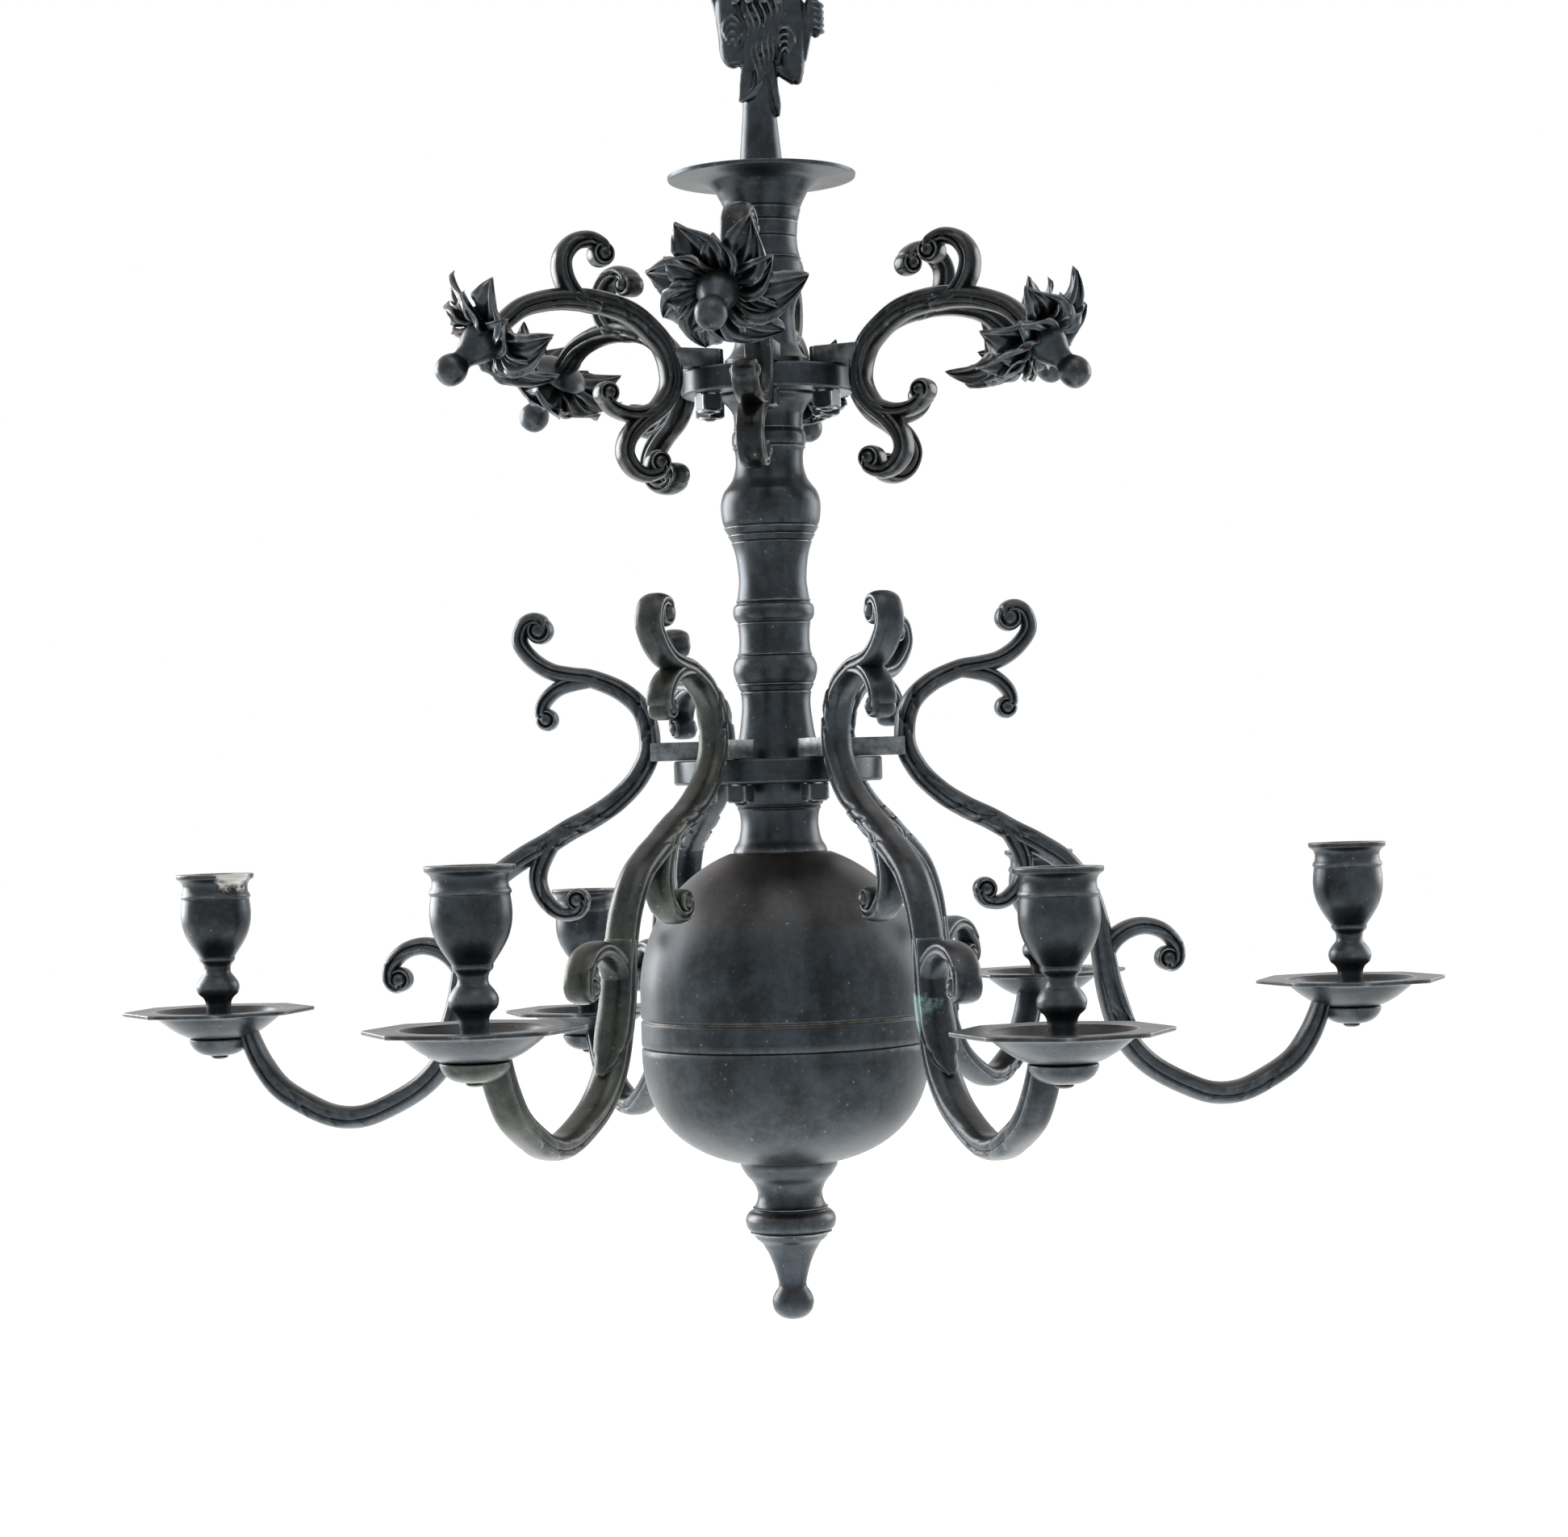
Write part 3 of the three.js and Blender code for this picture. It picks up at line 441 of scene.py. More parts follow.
def smooth_run(points, step, measured=2):
    """Points on a smooth curve through the given ones, about a step apart over their first measured
    values."""
    points = np.array(points, float)
    padded = np.vstack([2 * points[0] - points[1], points, 2 * points[-1] - points[-2]])
    out = [points[:1]]
    for p0, p1, p2, p3 in zip(padded, padded[1:], padded[2:], padded[3:]):
        pieces = max(1, math.ceil(np.linalg.norm((p2 - p1)[:measured]) / step))
        t = np.arange(1, pieces + 1)[:, None] / pieces
        out.append(0.5 * (2 * p1 + (p2 - p0) * t + (2 * p0 - 5 * p1 + 4 * p2 - p3) * t ** 2
                          + (3 * p1 - p0 - 3 * p2 + p3) * t ** 3))
    return np.vstack(out)


def shares_along(points):
    """How far along a line each of its points lies, from 0 to 1."""
    steps = np.concatenate([[0], np.cumsum(np.linalg.norm(np.diff(points, axis=0), axis=1))])
    return steps / steps[-1]


def sized(shares, sizes):
    """The sizes at shares of a length, from rows of (share, size, ...)."""
    places, *columns = zip(*sizes)
    return [np.interp(shares, places, column) for column in columns]


def net(rows, columns, around=True, closed=False):
    """Faces between rows of points. Each row is a ring if around, and the last row joins the first if
    closed."""
    return [(i * columns + k, i * columns + turn, after * columns + turn, after * columns + k)
            for i, after in enumerate([*range(1, rows)] + [0] * closed)
            for k, turn in enumerate([*range(1, columns)] + [0] * around)]


def joined(runs, step):
    """One line of (radius, height, squareness) points from runs that start where the last one ended. A run
    of more than two points is a smooth curve."""
    line = []
    for run in runs:
        run = [tuple(point) for point in line[-1:]] + [(*point, 0)[:3] for point in run]
        points = smooth_run(run, step) if len(run) > 2 else np.array(run, float)
        line.extend(points[1:] if line else points)
    return line


def outline(runs, grooves=(), step=1.4):
    """An outline in millimetres from runs of (radius, height, squareness) points, which meet at edges. Fine
    lines are cut at the heights in grooves, outside of the bore, and edges are rounded as a tool leaves
    them."""
    groove, edge = settings("turned").groove / MM, settings("turned").edge / MM
    bore, width, sharp_turn = 8, 0.75, 32
    line = joined(runs, step)
    for level in grooves:
        i = next(i for i, (a, b) in enumerate(zip(line, line[1:]))
                 if min(a[1], b[1]) <= level < max(a[1], b[1]) and a[0] > bore)
        rise = line[i + 1] - line[i]
        radius = line[i][0] + (level - line[i][1]) / rise[1] * rise[0]
        before, after = ([p for p in part if abs(p[1] - level) >= width or p[0] <= bore]
                         for part in (line[:i + 1], line[i + 1:]))
        way = np.sign(rise[1]) * width
        cut = [np.array((radius - deep, level + way * share, 0))
               for deep, share in ((0, -1), (0.1, -0.55), (groove, 0), (0.1, 0.55), (0, 1))]
        line = before + cut + after
    rounded = [line[0]]
    for before, point, after in zip(line, line[1:], line[2:]):
        back, ahead = before - point, after - point
        back_length, ahead_length = np.linalg.norm(back[:2]), np.linalg.norm(ahead[:2])
        turn = math.degrees(math.acos(np.clip(
            -(back[:2] @ ahead[:2]) / max(back_length * ahead_length, 1e-9), -1, 1)))
        if turn < sharp_turn or min(back_length, ahead_length) < edge * 1.2:
            rounded.append(point)
            continue
        back, ahead = back / back_length * edge, ahead / ahead_length * edge
        start, end = point + back, point + ahead
        if back_length > edge * 4:
            rounded.append(point + back * 1.8)
        rounded += [start, start * 0.3 + point * 0.5 + end * 0.2, start * 0.2 + point * 0.5 + end * 0.3, end]
        if ahead_length > edge * 4:
            rounded.append(point + ahead * 1.8)
    return np.array(rounded + [line[-1]])


def turned(name, line, sides=0, flats=8, closed=False):
    """A body turned round the upright axis from an outline in millimetres. A point's third value is how
    far its ring is squared to a polygon with that many flats, for nuts and eight-sided flanges. A
    closed outline joins its last point to its first."""
    sides = sides or settings("turned").sides
    angles = np.arange(sides) * 2 * math.pi / sides
    half = math.pi / flats
    polygon = math.cos(half) / np.cos((angles + half) % (2 * half) - half)
    points, rings, faces = [], [], []
    for radius, height, squareness in line:
        reach = radius * (1 - squareness + squareness * polygon) * MM
        ring = np.stack([reach * np.cos(angles), reach * np.sin(angles), np.full(sides, height * MM)], axis=1)
        rings.append(range(len(points), len(points) + (sides if radius >= 1e-6 else 1)))
        points.extend(ring[:len(rings[-1])])
    for lower, upper in list(zip(rings, rings[1:])) + [(rings[-1], rings[0])] * closed:
        for k in range(sides):
            after = (k + 1) % sides
            if len(lower) == 1 and len(upper) > 1:
                faces.append((lower[0], upper[after], upper[k]))
            elif len(upper) == 1 and len(lower) > 1:
                faces.append((lower[k], lower[after], upper[0]))
            elif len(lower) > 1:
                faces.append((lower[k], lower[after], upper[after], upper[k]))
    return mesh_from(name, points, faces)


def slab(name, corners, bottom, top, rounding):
    """A flat bar with the given plan in millimetres and rounded edges."""
    form = bmesh.new()
    ring = [form.verts.new((x * MM, y * MM, bottom * MM)) for x, y in corners]
    face = form.faces.new(ring)
    lifted = bmesh.ops.extrude_face_region(form, geom=[face])["geom"]
    for item in lifted:
        if isinstance(item, bmesh.types.BMVert):
            item.co.z = top * MM
    bmesh.ops.recalc_face_normals(form, faces=form.faces)
    bmesh.ops.bevel(form, geom=list(form.edges), offset=rounding * MM, segments=2, affect="EDGES",
                    profile=0.6)
    mesh = bpy.data.meshes.new(name)
    form.to_mesh(mesh)
    form.free()
    return mesh


def candle_place(i):
    """Place of candle arm i's drawing, whose x runs outwards and whose z starts on the plate."""
    return arm_place(CANDLE_ARM_ANGLES[i], CANDLE_PEG_ANGLES[i], CANDLE_PEG_CIRCLE, LOWER_PLATE_TOP)


def scroll_place(i):
    """Place of scroll arm i's drawing."""
    return arm_place(SCROLL_ARM_ANGLES[i], SCROLL_PEG_ANGLES[i], SCROLL_PEG_CIRCLE, UPPER_PLATE_TOP)


def arm_place(angle, peg_angle, circle, plate_top):
    """Place of an arm's drawing, turned about its peg to the way that it points."""
    peg = Matrix.Rotation(math.radians(peg_angle - 90), 4, "Z") @ Vector((circle * MM, 0, 0))
    return (Matrix.Translation((peg.x, peg.y, plate_top)) @ Matrix.Rotation(math.radians(angle - 90), 4, "Z")
            @ Matrix.Translation((-circle * MM, 0, 0)))


def bend(tang_end, degrees):
    """Turn of an arm's bow, bent up in use about the outer end of its tang."""
    return (Matrix.Translation((tang_end * MM, 0, 0)) @ Matrix.Rotation(-math.radians(degrees), 4, "Y")
            @ Matrix.Translation((-tang_end * MM, 0, 0)))


def candle_seat(i):
    """Place of what stands on candle arm i's boss, which stays level when the arm is bent."""
    seat = bend(CANDLE_TANG_END, CANDLE_ARM_BENDS[i]) @ Vector((CANDLE_REACH * MM, 0, -CANDLE_DROP * MM))
    return candle_place(i) @ Matrix.Translation(seat)


def piece(name, mesh, node, material, place=None, sharp=38):
    """A finished piece: its mesh is set in place, smoothed, given its finish and put for its frame node."""
    mesh.name = name
    if place is not None:
        mesh.transform(place)
    mesh.shade_smooth()
    mesh.set_sharp_from_angle(angle=math.radians(sharp))
    mark_edges(mesh)
    mesh.materials.clear()
    mesh.materials.append(finish(material))
    made = placed(name, mesh)
    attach(made, BODY_OF[node])
    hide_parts(node)


def grown(name, source, tree, values):
    """The mesh that a geometry node tree makes from a mesh. Its inputs are set by their sockets'
    identifiers before it is first worked out."""
    carrier = placed(name, source)
    modifier = carrier.modifiers.new(name, "NODES")
    modifier.node_group = tree
    sockets = {item.name: item.identifier for item in tree.interface.items_tree if item.in_out == "INPUT"}
    for key, value in values.items():
        modifier[sockets[key]] = value
    return worked_out(carrier)


def tree_with(name, *sockets):
    """An empty geometry node tree with its named inputs."""
    tree = bpy.data.node_groups.new(name, "GeometryNodeTree")
    tree.interface.new_socket("Lines", in_out="INPUT", socket_type="NodeSocketGeometry")
    for label, kind, default in sockets:
        socket = tree.interface.new_socket(label, in_out="INPUT", socket_type="NodeSocket" + kind)
        if default is not None:
            socket.default_value = default
    tree.interface.new_socket("Made", in_out="OUTPUT", socket_type="NodeSocketGeometry")
    return tree, add(tree, "NodeGroupInput").outputs


# Cast bars of the arms

def bar_tree():
    """Tree that lays a cast bar along each line, as thick and as wide as its points say, with a round roll
    on each end that has one."""
    if "cast_bar" in bpy.data.node_groups:
        return bpy.data.node_groups["cast_bar"]
    tree, given = tree_with("cast_bar", ("Step", "Float", 0.0013), ("Section Points", "Int", 36),
                            ("Fullness", "Float", 0.77), ("Roll", "Object", None),
                            ("Finish", "Material", None))
    thickness, width, roll = (add(tree, "GeometryNodeInputNamedAttribute", {"Name": name})
                              for name in ("thickness", "width", "roll"))
    line = add(tree, "GeometryNodeMeshToCurve", {"Mesh": given["Lines"]})
    line = add(tree, "GeometryNodeCurveSplineType", {"Curve": line}, spline_type="CATMULL_ROM")
    line = add(tree, "GeometryNodeResampleCurve", {"Curve": line, "Length": given["Step"]}, mode="LENGTH")
    line = add(tree, "GeometryNodeSetCurveNormal", {"Curve": line, "Normal": (0, 1, 0)}, mode="FREE")
    run = add(tree, "GeometryNodeSplineParameter").outputs["Length"]
    line = add(tree, "GeometryNodeStoreNamedAttribute", {"Geometry": line, "Name": "run", "Value": run})

    # Section: a circle pressed towards a rounded rectangle
    ring = add(tree, "GeometryNodeCurvePrimitiveCircle", {
        "Resolution": given["Section Points"], "Radius": 1.0})
    here = add(tree, "GeometryNodeInputPosition")
    corner = add(tree, "ShaderNodeSeparateXYZ", {0: here}).outputs
    pressed = {}
    for axis in ("X", "Y"):
        size = add(tree, "ShaderNodeMath", {0: corner[axis]}, operation="ABSOLUTE")
        size = add(tree, "ShaderNodeMath", {0: size, 1: given["Fullness"]}, operation="POWER")
        sign = add(tree, "ShaderNodeMath", {0: corner[axis]}, operation="SIGN")
        pressed[axis] = add(tree, "ShaderNodeMath", {0: size, 1: sign}, operation="MULTIPLY")
    spot = add(tree, "ShaderNodeCombineXYZ", pressed)
    ring = add(tree, "GeometryNodeSetPosition", {"Geometry": ring, "Position": spot})
    for key, side in (("across", corner["X"]), ("outward", corner["Y"])):
        ring = add(tree, "GeometryNodeStoreNamedAttribute", {"Geometry": ring, "Name": key, "Value": side})

    half = add(tree, "ShaderNodeMath", {0: thickness, 1: 0.5}, operation="MULTIPLY")
    bar = add(tree, "GeometryNodeCurveToMesh", {
        "Curve": line, "Profile Curve": ring, "Scale": half, "Fill Caps": True})
    breadth = add(tree, "ShaderNodeMath", {0: width, 1: thickness}, operation="DIVIDE")
    stretch = add(tree, "ShaderNodeCombineXYZ", {"X": 1.0, "Y": breadth, "Z": 1.0})
    spot = add(tree, "ShaderNodeVectorMath", {0: here, 1: stretch}, operation="MULTIPLY")
    bar = add(tree, "GeometryNodeSetPosition", {"Geometry": bar, "Position": spot})

    # Rolls, drawn with radius 1 and half width 1
    last = add(tree, "GeometryNodeCurveEndpointSelection", {"Start Size": 0, "End Size": 1})
    has_roll = add(tree, "FunctionNodeCompare", {0: roll, 1: 0.0001}, operation="GREATER_THAN")
    chosen = add(tree, "FunctionNodeBooleanMath", {0: last, 1: has_roll}, operation="AND")
    roll_width = add(tree, "ShaderNodeMath", {0: width, 1: 0.55}, operation="MULTIPLY")
    size = add(tree, "ShaderNodeCombineXYZ", {"X": roll, "Y": roll_width, "Z": roll})
    shape = add(tree, "GeometryNodeObjectInfo", {"Object": given["Roll"]}).outputs["Geometry"]
    rolls = add(tree, "GeometryNodeInstanceOnPoints", {
        "Points": line, "Selection": chosen, "Instance": shape, "Scale": size})
    both = add(tree, "GeometryNodeJoinGeometry", {0: bar})
    tree.links.new(rolls.outputs[0], both.inputs[0])
    real = add(tree, "GeometryNodeRealizeInstances", {"Geometry": both})
    done = add(tree, "GeometryNodeSetMaterial", {"Geometry": real, "Material": given["Finish"]})
    add(tree, "NodeGroupOutput", {0: done})
    return tree


def laid_tree():
    """Tree that lays a thin blade on each point, turned and sized as the point says, then arches it by its
    raise and lets its tip droop, both measured over the blade reach from the middle."""
    if "laid_blades" in bpy.data.node_groups:
        return bpy.data.node_groups["laid_blades"]
    tree, given = tree_with("laid_blades", ("Reach", "Float", 0.036), ("Blade", "Object", None),
                            ("Finish", "Material", None))
    turn, size = (add(tree, "GeometryNodeInputNamedAttribute", {"Name": name}, data_type="FLOAT_VECTOR")
                  for name in ("turn", "size"))
    lift, droop = (add(tree, "GeometryNodeInputNamedAttribute", {"Name": name})
                   for name in ("raise", "droop"))
    shape = add(tree, "GeometryNodeObjectInfo", {"Object": given["Blade"]}).outputs["Geometry"]
    turn = add(tree, "FunctionNodeEulerToRotation", {"Euler": turn})
    blades = add(tree, "GeometryNodeInstanceOnPoints", {
        "Points": given["Lines"], "Instance": shape, "Rotation": turn, "Scale": size})
    real = add(tree, "GeometryNodeRealizeInstances", {"Geometry": blades})
    spot = add(tree, "ShaderNodeSeparateXYZ", {0: add(tree, "GeometryNodeInputPosition")}).outputs
    flat = add(tree, "ShaderNodeCombineXYZ", {"X": spot["X"], "Y": spot["Y"]})
    away = add(tree, "ShaderNodeVectorMath", {0: flat}, operation="LENGTH").outputs["Value"]
    share = add(tree, "ShaderNodeMath", {0: away, 1: given["Reach"]}, operation="DIVIDE")
    swing = add(tree, "ShaderNodeMath", {0: share, 1: 2.5}, operation="MULTIPLY")
    arch = add(tree, "ShaderNodeMath", {0: swing}, operation="SINE")
    arch = add(tree, "ShaderNodeMath", {0: arch, 1: lift}, operation="MULTIPLY")
    fall = add(tree, "ShaderNodeMath", {0: share, 1: share}, operation="MULTIPLY")
    fall = add(tree, "ShaderNodeMath", {0: fall, 1: droop}, operation="MULTIPLY")
    rise = add(tree, "ShaderNodeMath", {0: arch, 1: fall}, operation="SUBTRACT")
    offset = add(tree, "ShaderNodeCombineXYZ", {"Z": rise})
    bent = add(tree, "GeometryNodeSetPosition", {"Geometry": real, "Offset": offset})
    done = add(tree, "GeometryNodeSetMaterial", {"Geometry": bent, "Material": given["Finish"]})
    add(tree, "NodeGroupOutput", {0: done})
    return tree


def blade(name, long, wide, thick, widths, ridges, ridge_depth, cup, sway=0.0, ruffle=0.0, steps=26,
          across=24):
    """Object of a thin leaf along x: widths are its (share of length, share of width) outline, ridges how
    many run along it, cup how far its edges stand up, sway how far its tip swings aside and ruffle how
    high its edges wave."""
    t = np.linspace(0, 1, steps)[:, None]
    v = np.linspace(-1, 1, across)[None, :]
    half = sized(t, widths)[0] * wide / 2
    x = t * long + 0 * v
    y = half * v + sway * (1.9 * t ** 3 - 0.9 * t)
    ridge = np.cos(v * math.pi * ridges) * ridge_depth * (1 - 0.6 * t)
    wave = np.sin(t * 11) * np.abs(v) ** 3 * np.sign(v) * ruffle
    lift = cup * half * v ** 2 + ridge + wave
    body = thick * (1 - 0.4 * t) * np.sqrt(np.clip(1.15 - v ** 2, 0.1, 1))
    points = np.vstack([np.stack([x, y, z], -1).reshape(-1, 3)
                        for z in (lift + body / 2, lift * 0.8 - body / 2)]) * MM
    below = steps * across
    upper = net(steps, across, around=False)
    rim = [*range(across)] + [i * across + across - 1 for i in range(1, steps)]
    rim += [below - 2 - k for k in range(across - 1)] + [i * across for i in range(steps - 2, 0, -1)]
    faces = upper + [tuple(below + k for k in face) for face in upper]
    faces += [(a, b, below + b, below + a) for a, b in zip(rim, rim[1:] + rim[:1])]
    return placed(name, mesh_from(name, points, faces))


def laid(name, shape, rows, reach, material):
    """Blades of one shape, a row of (place, turn, size, raise, droop) for each, with places in millimetres
    and turns in radians. The shape's own object doesn't stay."""
    source = bpy.data.meshes.new(name)
    places, turns, sizes, raises, droops = zip(*rows)
    source.from_pydata([tuple(Vector(place) * MM) for place in places], [], [])
    for key, values in (("turn", turns), ("size", sizes)):
        values = np.array([tuple(value) for value in values], np.float32)
        source.attributes.new(key, "FLOAT_VECTOR", "POINT").data.foreach_set("vector", values.ravel())
    for key, values in (("raise", raises), ("droop", droops)):
        values = np.array(values, np.float32) * MM
        source.attributes.new(key, "FLOAT", "POINT").data.foreach_set("value", values)
    mesh = grown(name, source, laid_tree(), {"Reach": reach * MM, "Blade": shape, "Finish": finish(material)})
    dropped(shape)
    return mesh


def limb(line, sizes, sides=14):
    """A tapered limb through 3D points in millimetres. sizes are (share, half width in the picture plane,
    half depth) at shares of its length. Its ends are closed by domes."""
    points = smooth_run(line, 1.0, 3)
    wide, deep = sized(shares_along(points), sizes)
    ahead = np.gradient(points, axis=0)
    ahead /= np.linalg.norm(ahead, axis=1)[:, None]
    depth_way = np.array((0, 1, 0)) - ahead * ahead[:, 1:2]
    depth_way /= np.linalg.norm(depth_way, axis=1)[:, None]
    side_way = np.cross(ahead, depth_way)
    angle = np.arange(sides)[:, None] * 2 * math.pi / sides
    rings = [point + side * w * np.cos(angle) + depth * d * np.sin(angle)
             for point, side, w, depth, d in zip(points, side_way, wide, depth_way, deep)]
    start = points[0] - ahead[0] * min(wide[0], deep[0]) * 0.5
    end = points[-1] + ahead[-1] * min(wide[-1], deep[-1]) * 0.5
    total = len(points) * sides
    faces = net(len(points), sides)
    for first, tip in ((0, total), (total - sides, total + 1)):
        faces += [(first + k, first + (k + 1) % sides, tip) for k in range(sides)]
    return mesh_from("limb", np.vstack(rings + [[start], [end]]) * MM, faces)


def egg(centre, radii):
    """A round form with three radii, in millimetres."""
    form = bmesh.new()
    bmesh.ops.create_icosphere(form, subdivisions=3, radius=1)
    mesh = bpy.data.meshes.new("egg")
    form.to_mesh(mesh)
    form.free()
    mesh.transform(Matrix.Translation(Vector(centre) * MM) @ Matrix.Diagonal((*(Vector(radii) * MM), 1)))
    return mesh


def fused(name, mesh, voxel, smoothing):
    """The mesh as one cast skin, its joins filled and softened as in a sand mould."""
    carrier = placed(name, mesh)
    skin = carrier.modifiers.new("skin", "REMESH")
    skin.mode = "VOXEL"
    skin.voxel_size = voxel * MM
    soft = carrier.modifiers.new("soft", "SMOOTH")
    soft.factor = 0.5
    soft.iterations = smoothing
    return worked_out(carrier)


# Outline of a roll with radius 1 and half width 1: a domed button in a shallow groove, then a round rim
ROLL = [
    [(0, 1.12), (0.24, 1.08), (0.44, 0.97), (0.56, 0.8)],
    [(0.62, 0.72), (0.72, 0.84), (0.84, 0.82), (0.96, 0.62)],
    [(1.02, 0.3), (1.02, -0.3), (0.96, -0.62)], [(0.84, -0.82), (0.72, -0.84), (0.62, -0.72)],
    [(0.56, -0.8), (0.44, -0.97), (0.24, -1.08), (0, -1.12)],
]


def roll_shape():
    """Object of a scroll's roll with a domed button on both sides, its axis along y."""
    mesh = turned("roll", [(r / MM, z / MM, 0) for r, z, _ in joined(ROLL, 0.12)], sides=40)
    mesh.transform(Matrix.Rotation(math.pi / 2, 4, "X"))
    return placed("roll", mesh)


def cast_bars(name, strands, material):
    """Bars along strands. A strand has its line of (x, z) points in millimetres, its thickness and width at
    shares of its length, and the radius of its roll."""
    arm = settings("arms")
    points, lines, columns = [], [], {"thickness": [], "width": [], "roll": []}
    for line, sizes, roll in strands:
        line = np.array(line, float)
        start = len(points)
        points.extend((x * MM, 0, z * MM) for x, z in line)
        lines.extend((k, k + 1) for k in range(start, len(points) - 1))
        thickness, width = sized(shares_along(line), sizes)
        columns["thickness"].extend(thickness * MM)
        columns["width"].extend(width * MM)
        columns["roll"].extend([0] * (len(line) - 1) + [roll * MM])
    source = bpy.data.meshes.new(name)
    source.from_pydata(points, lines, [])
    for key, values in columns.items():
        source.attributes.new(key, "FLOAT", "POINT").data.foreach_set("value", np.array(values, np.float32))
    roll = roll_shape()
    mesh = grown(name, source, bar_tree(), {
        "Step": arm.step, "Section Points": arm.section_points, "Fullness": 0.77, "Roll": roll,
        "Finish": finish(material)})
    dropped(roll)
    carve_sides(mesh)
    return mesh


# Stretches of a bar that carry laid leaves, as start and end in metres along it and depth share
LEAFY = ((0.02, 0.11, 0.5), (0.225, 0.375, 1))


def carve_sides(mesh):
    """Two round rims with a channel between them on each flat side of a cast bar, and the tips of laid
    leaves at uneven distances along it."""
    arm = settings("arms")
    across, outward, run = (read(mesh.attributes[name].data, "value", 1, np.float32)[:, 0]
                            for name in ("across", "outward", "run"))
    side = smooth_step(0.5, 0.85, np.abs(across))
    rims = np.exp(-((outward - 0.6) / 0.22) ** 2) + np.exp(-((outward + 0.42) / 0.34) ** 2)
    channel = np.exp(-((outward - 0.16) / 0.1) ** 2)
    seam = np.exp(-((outward + 0.82) / 0.06) ** 2)
    count = run / arm.notch_spacing + 0.35 * np.sin(run * 90) - outward * 0.4
    phase = count % 1
    uneven = 0.35 + 0.65 * np.abs(np.sin(np.floor(count) * 2.3))
    leafy = sum(share * smooth_step(start, start + 0.02, run) * (1 - smooth_step(end - 0.02, end, run))
                for start, end, share in LEAFY)
    leaf = leafy * uneven * (1 - smooth_step(0.04, 0.5, phase)) * smooth_step(-0.8, -0.4, outward)
    depth = arm.rim * rims - arm.hollow * (channel + 0.25 * seam) - arm.notch * leaf
    points = read(mesh.vertices, "co")
    points[:, 1] += np.sign(across) * side * depth
    mesh.vertices.foreach_set("co", points.astype(np.float32).ravel())
    mesh.update()


CANDLE_ARM_STRANDS = [
    # Bow, waist and top curl
    ([(272, -126), (269.5, -134), (264, -146), (255, -158), (241, -167), (228, -172.5), (214, -173),
      (200, -168), (184, -159), (173, -148), (166, -135), (161.5, -116), (160.5, -101), (158, -87),
      (153, -71), (143, -56), (129, -46), (116, -39), (105, -32.5), (92, -26), (80, -18), (69.5, -7),
      (63.5, 7), (66, 24), (76, 35), (91, 42), (102, 44), (112, 46.5), (121, 52.5), (127, 61),
      (125.5, 69), (121, 72.5), (116, 71.5), (115.5, 67.5), (117, 67)],
     [(0, 9, 14), (0.06, 11, 15), (0.3, 11.5, 15), (0.45, 11.2, 14.4), (0.62, 11, 14), (0.8, 10, 13.4),
      (0.9, 8.6, 13.2), (0.96, 7.6, 13), (1, 6.5, 12.6)], 6.6),
    # Small curl under the top curl
    ([(86, 41), (100, 40.5), (109, 37.5), (115.5, 31.5), (117.3, 25.5), (114.5, 22.5)],
     [(0, 5, 12), (0.3, 8, 12.8), (0.8, 7, 13), (1, 6, 12.6)], 5.4),
    # Curl inside the waist
    ([(98, -30), (112, -36), (119, -47), (121.5, -57), (118.5, -66.5), (111, -73.5), (103, -74), (99, -70),
      (101.5, -67.5)],
     [(0, 6, 12), (0.2, 10, 13.6), (0.7, 8, 13.4), (1, 6, 12.8)], 5.8),
    # Curl outside the drop
    ([(160.5, -112), (162.5, -99), (170, -91.5), (180, -88.5), (190, -91), (197, -98.5), (197.5, -106),
      (193.5, -109), (192.5, -105)],
     [(0, 6, 12.5), (0.2, 10, 13.6), (0.75, 7.6, 13.4), (1, 6, 12.8)], 6.0),
    # Leaf that wraps the drop and ends in a lip inside the bow
    ([(158.5, -84), (160, -100), (162.5, -115), (166.5, -128), (172.5, -138), (179.5, -144.5)],
     [(0, 9.5, 14), (0.35, 12.6, 16.4), (0.7, 12, 16.8), (0.9, 6, 11), (1, 1.2, 3)], 0),
]

SCROLL_ARM_STRANDS = [
    # Back, waist and bottom curl
    ([(142, 12), (133, 20.5), (122.5, 25.2), (109, 28), (92, 28), (76.5, 24.6), (65.5, 17.8), (57, 9),
      (53, -2), (53.4, -11), (58.4, -20), (67.6, -28), (74, -36), (75.4, -44), (70.8, -51), (63.8, -53.5),
      (57.4, -51), (58.4, -47)],
     [(0, 9, 12), (0.1, 10, 13), (0.3, 11.5, 13.5), (0.55, 11, 13.4), (0.75, 9.6, 13), (1, 6.5, 12.6)], 6.0),
    # Top curl
    ([(92.5, 25.5), (103, 28.5), (110.2, 37), (111.9, 47), (107, 55), (99, 58), (92, 55.6), (91.9, 51.4)],
     [(0, 7, 12), (0.25, 10, 13.4), (0.7, 8.8, 13), (1, 6.5, 12.6)], 6.0),
    # Curl inside the back
    ([(54.2, -12), (60, -20.5), (67.6, -24), (75.2, -24.6), (82.7, -22.6), (87, -18.5), (86.5, -15.5)],
     [(0, 6, 12), (0.3, 8.4, 12.8), (0.7, 7.4, 12.6), (1, 6, 12.4)], 5.6),
]


def moved(mesh, x=0.0, z=0.0):
    """The mesh after a shift in millimetres."""
    mesh.transform(Matrix.Translation((x * MM, 0, z * MM)))
    return mesh


def six(name, node, mesh, material, place, sharp=38, last=None):
    """Six pieces of one mesh, each at its arm's place. last is the last one's finish where it differs."""
    for i in range(6):
        made_of = last if last and i == 5 else material
        piece(name.format(i + 1), mesh.copy(), f"{node}_{i + 1}", made_of, place(i), sharp)
    bpy.data.meshes.remove(mesh)


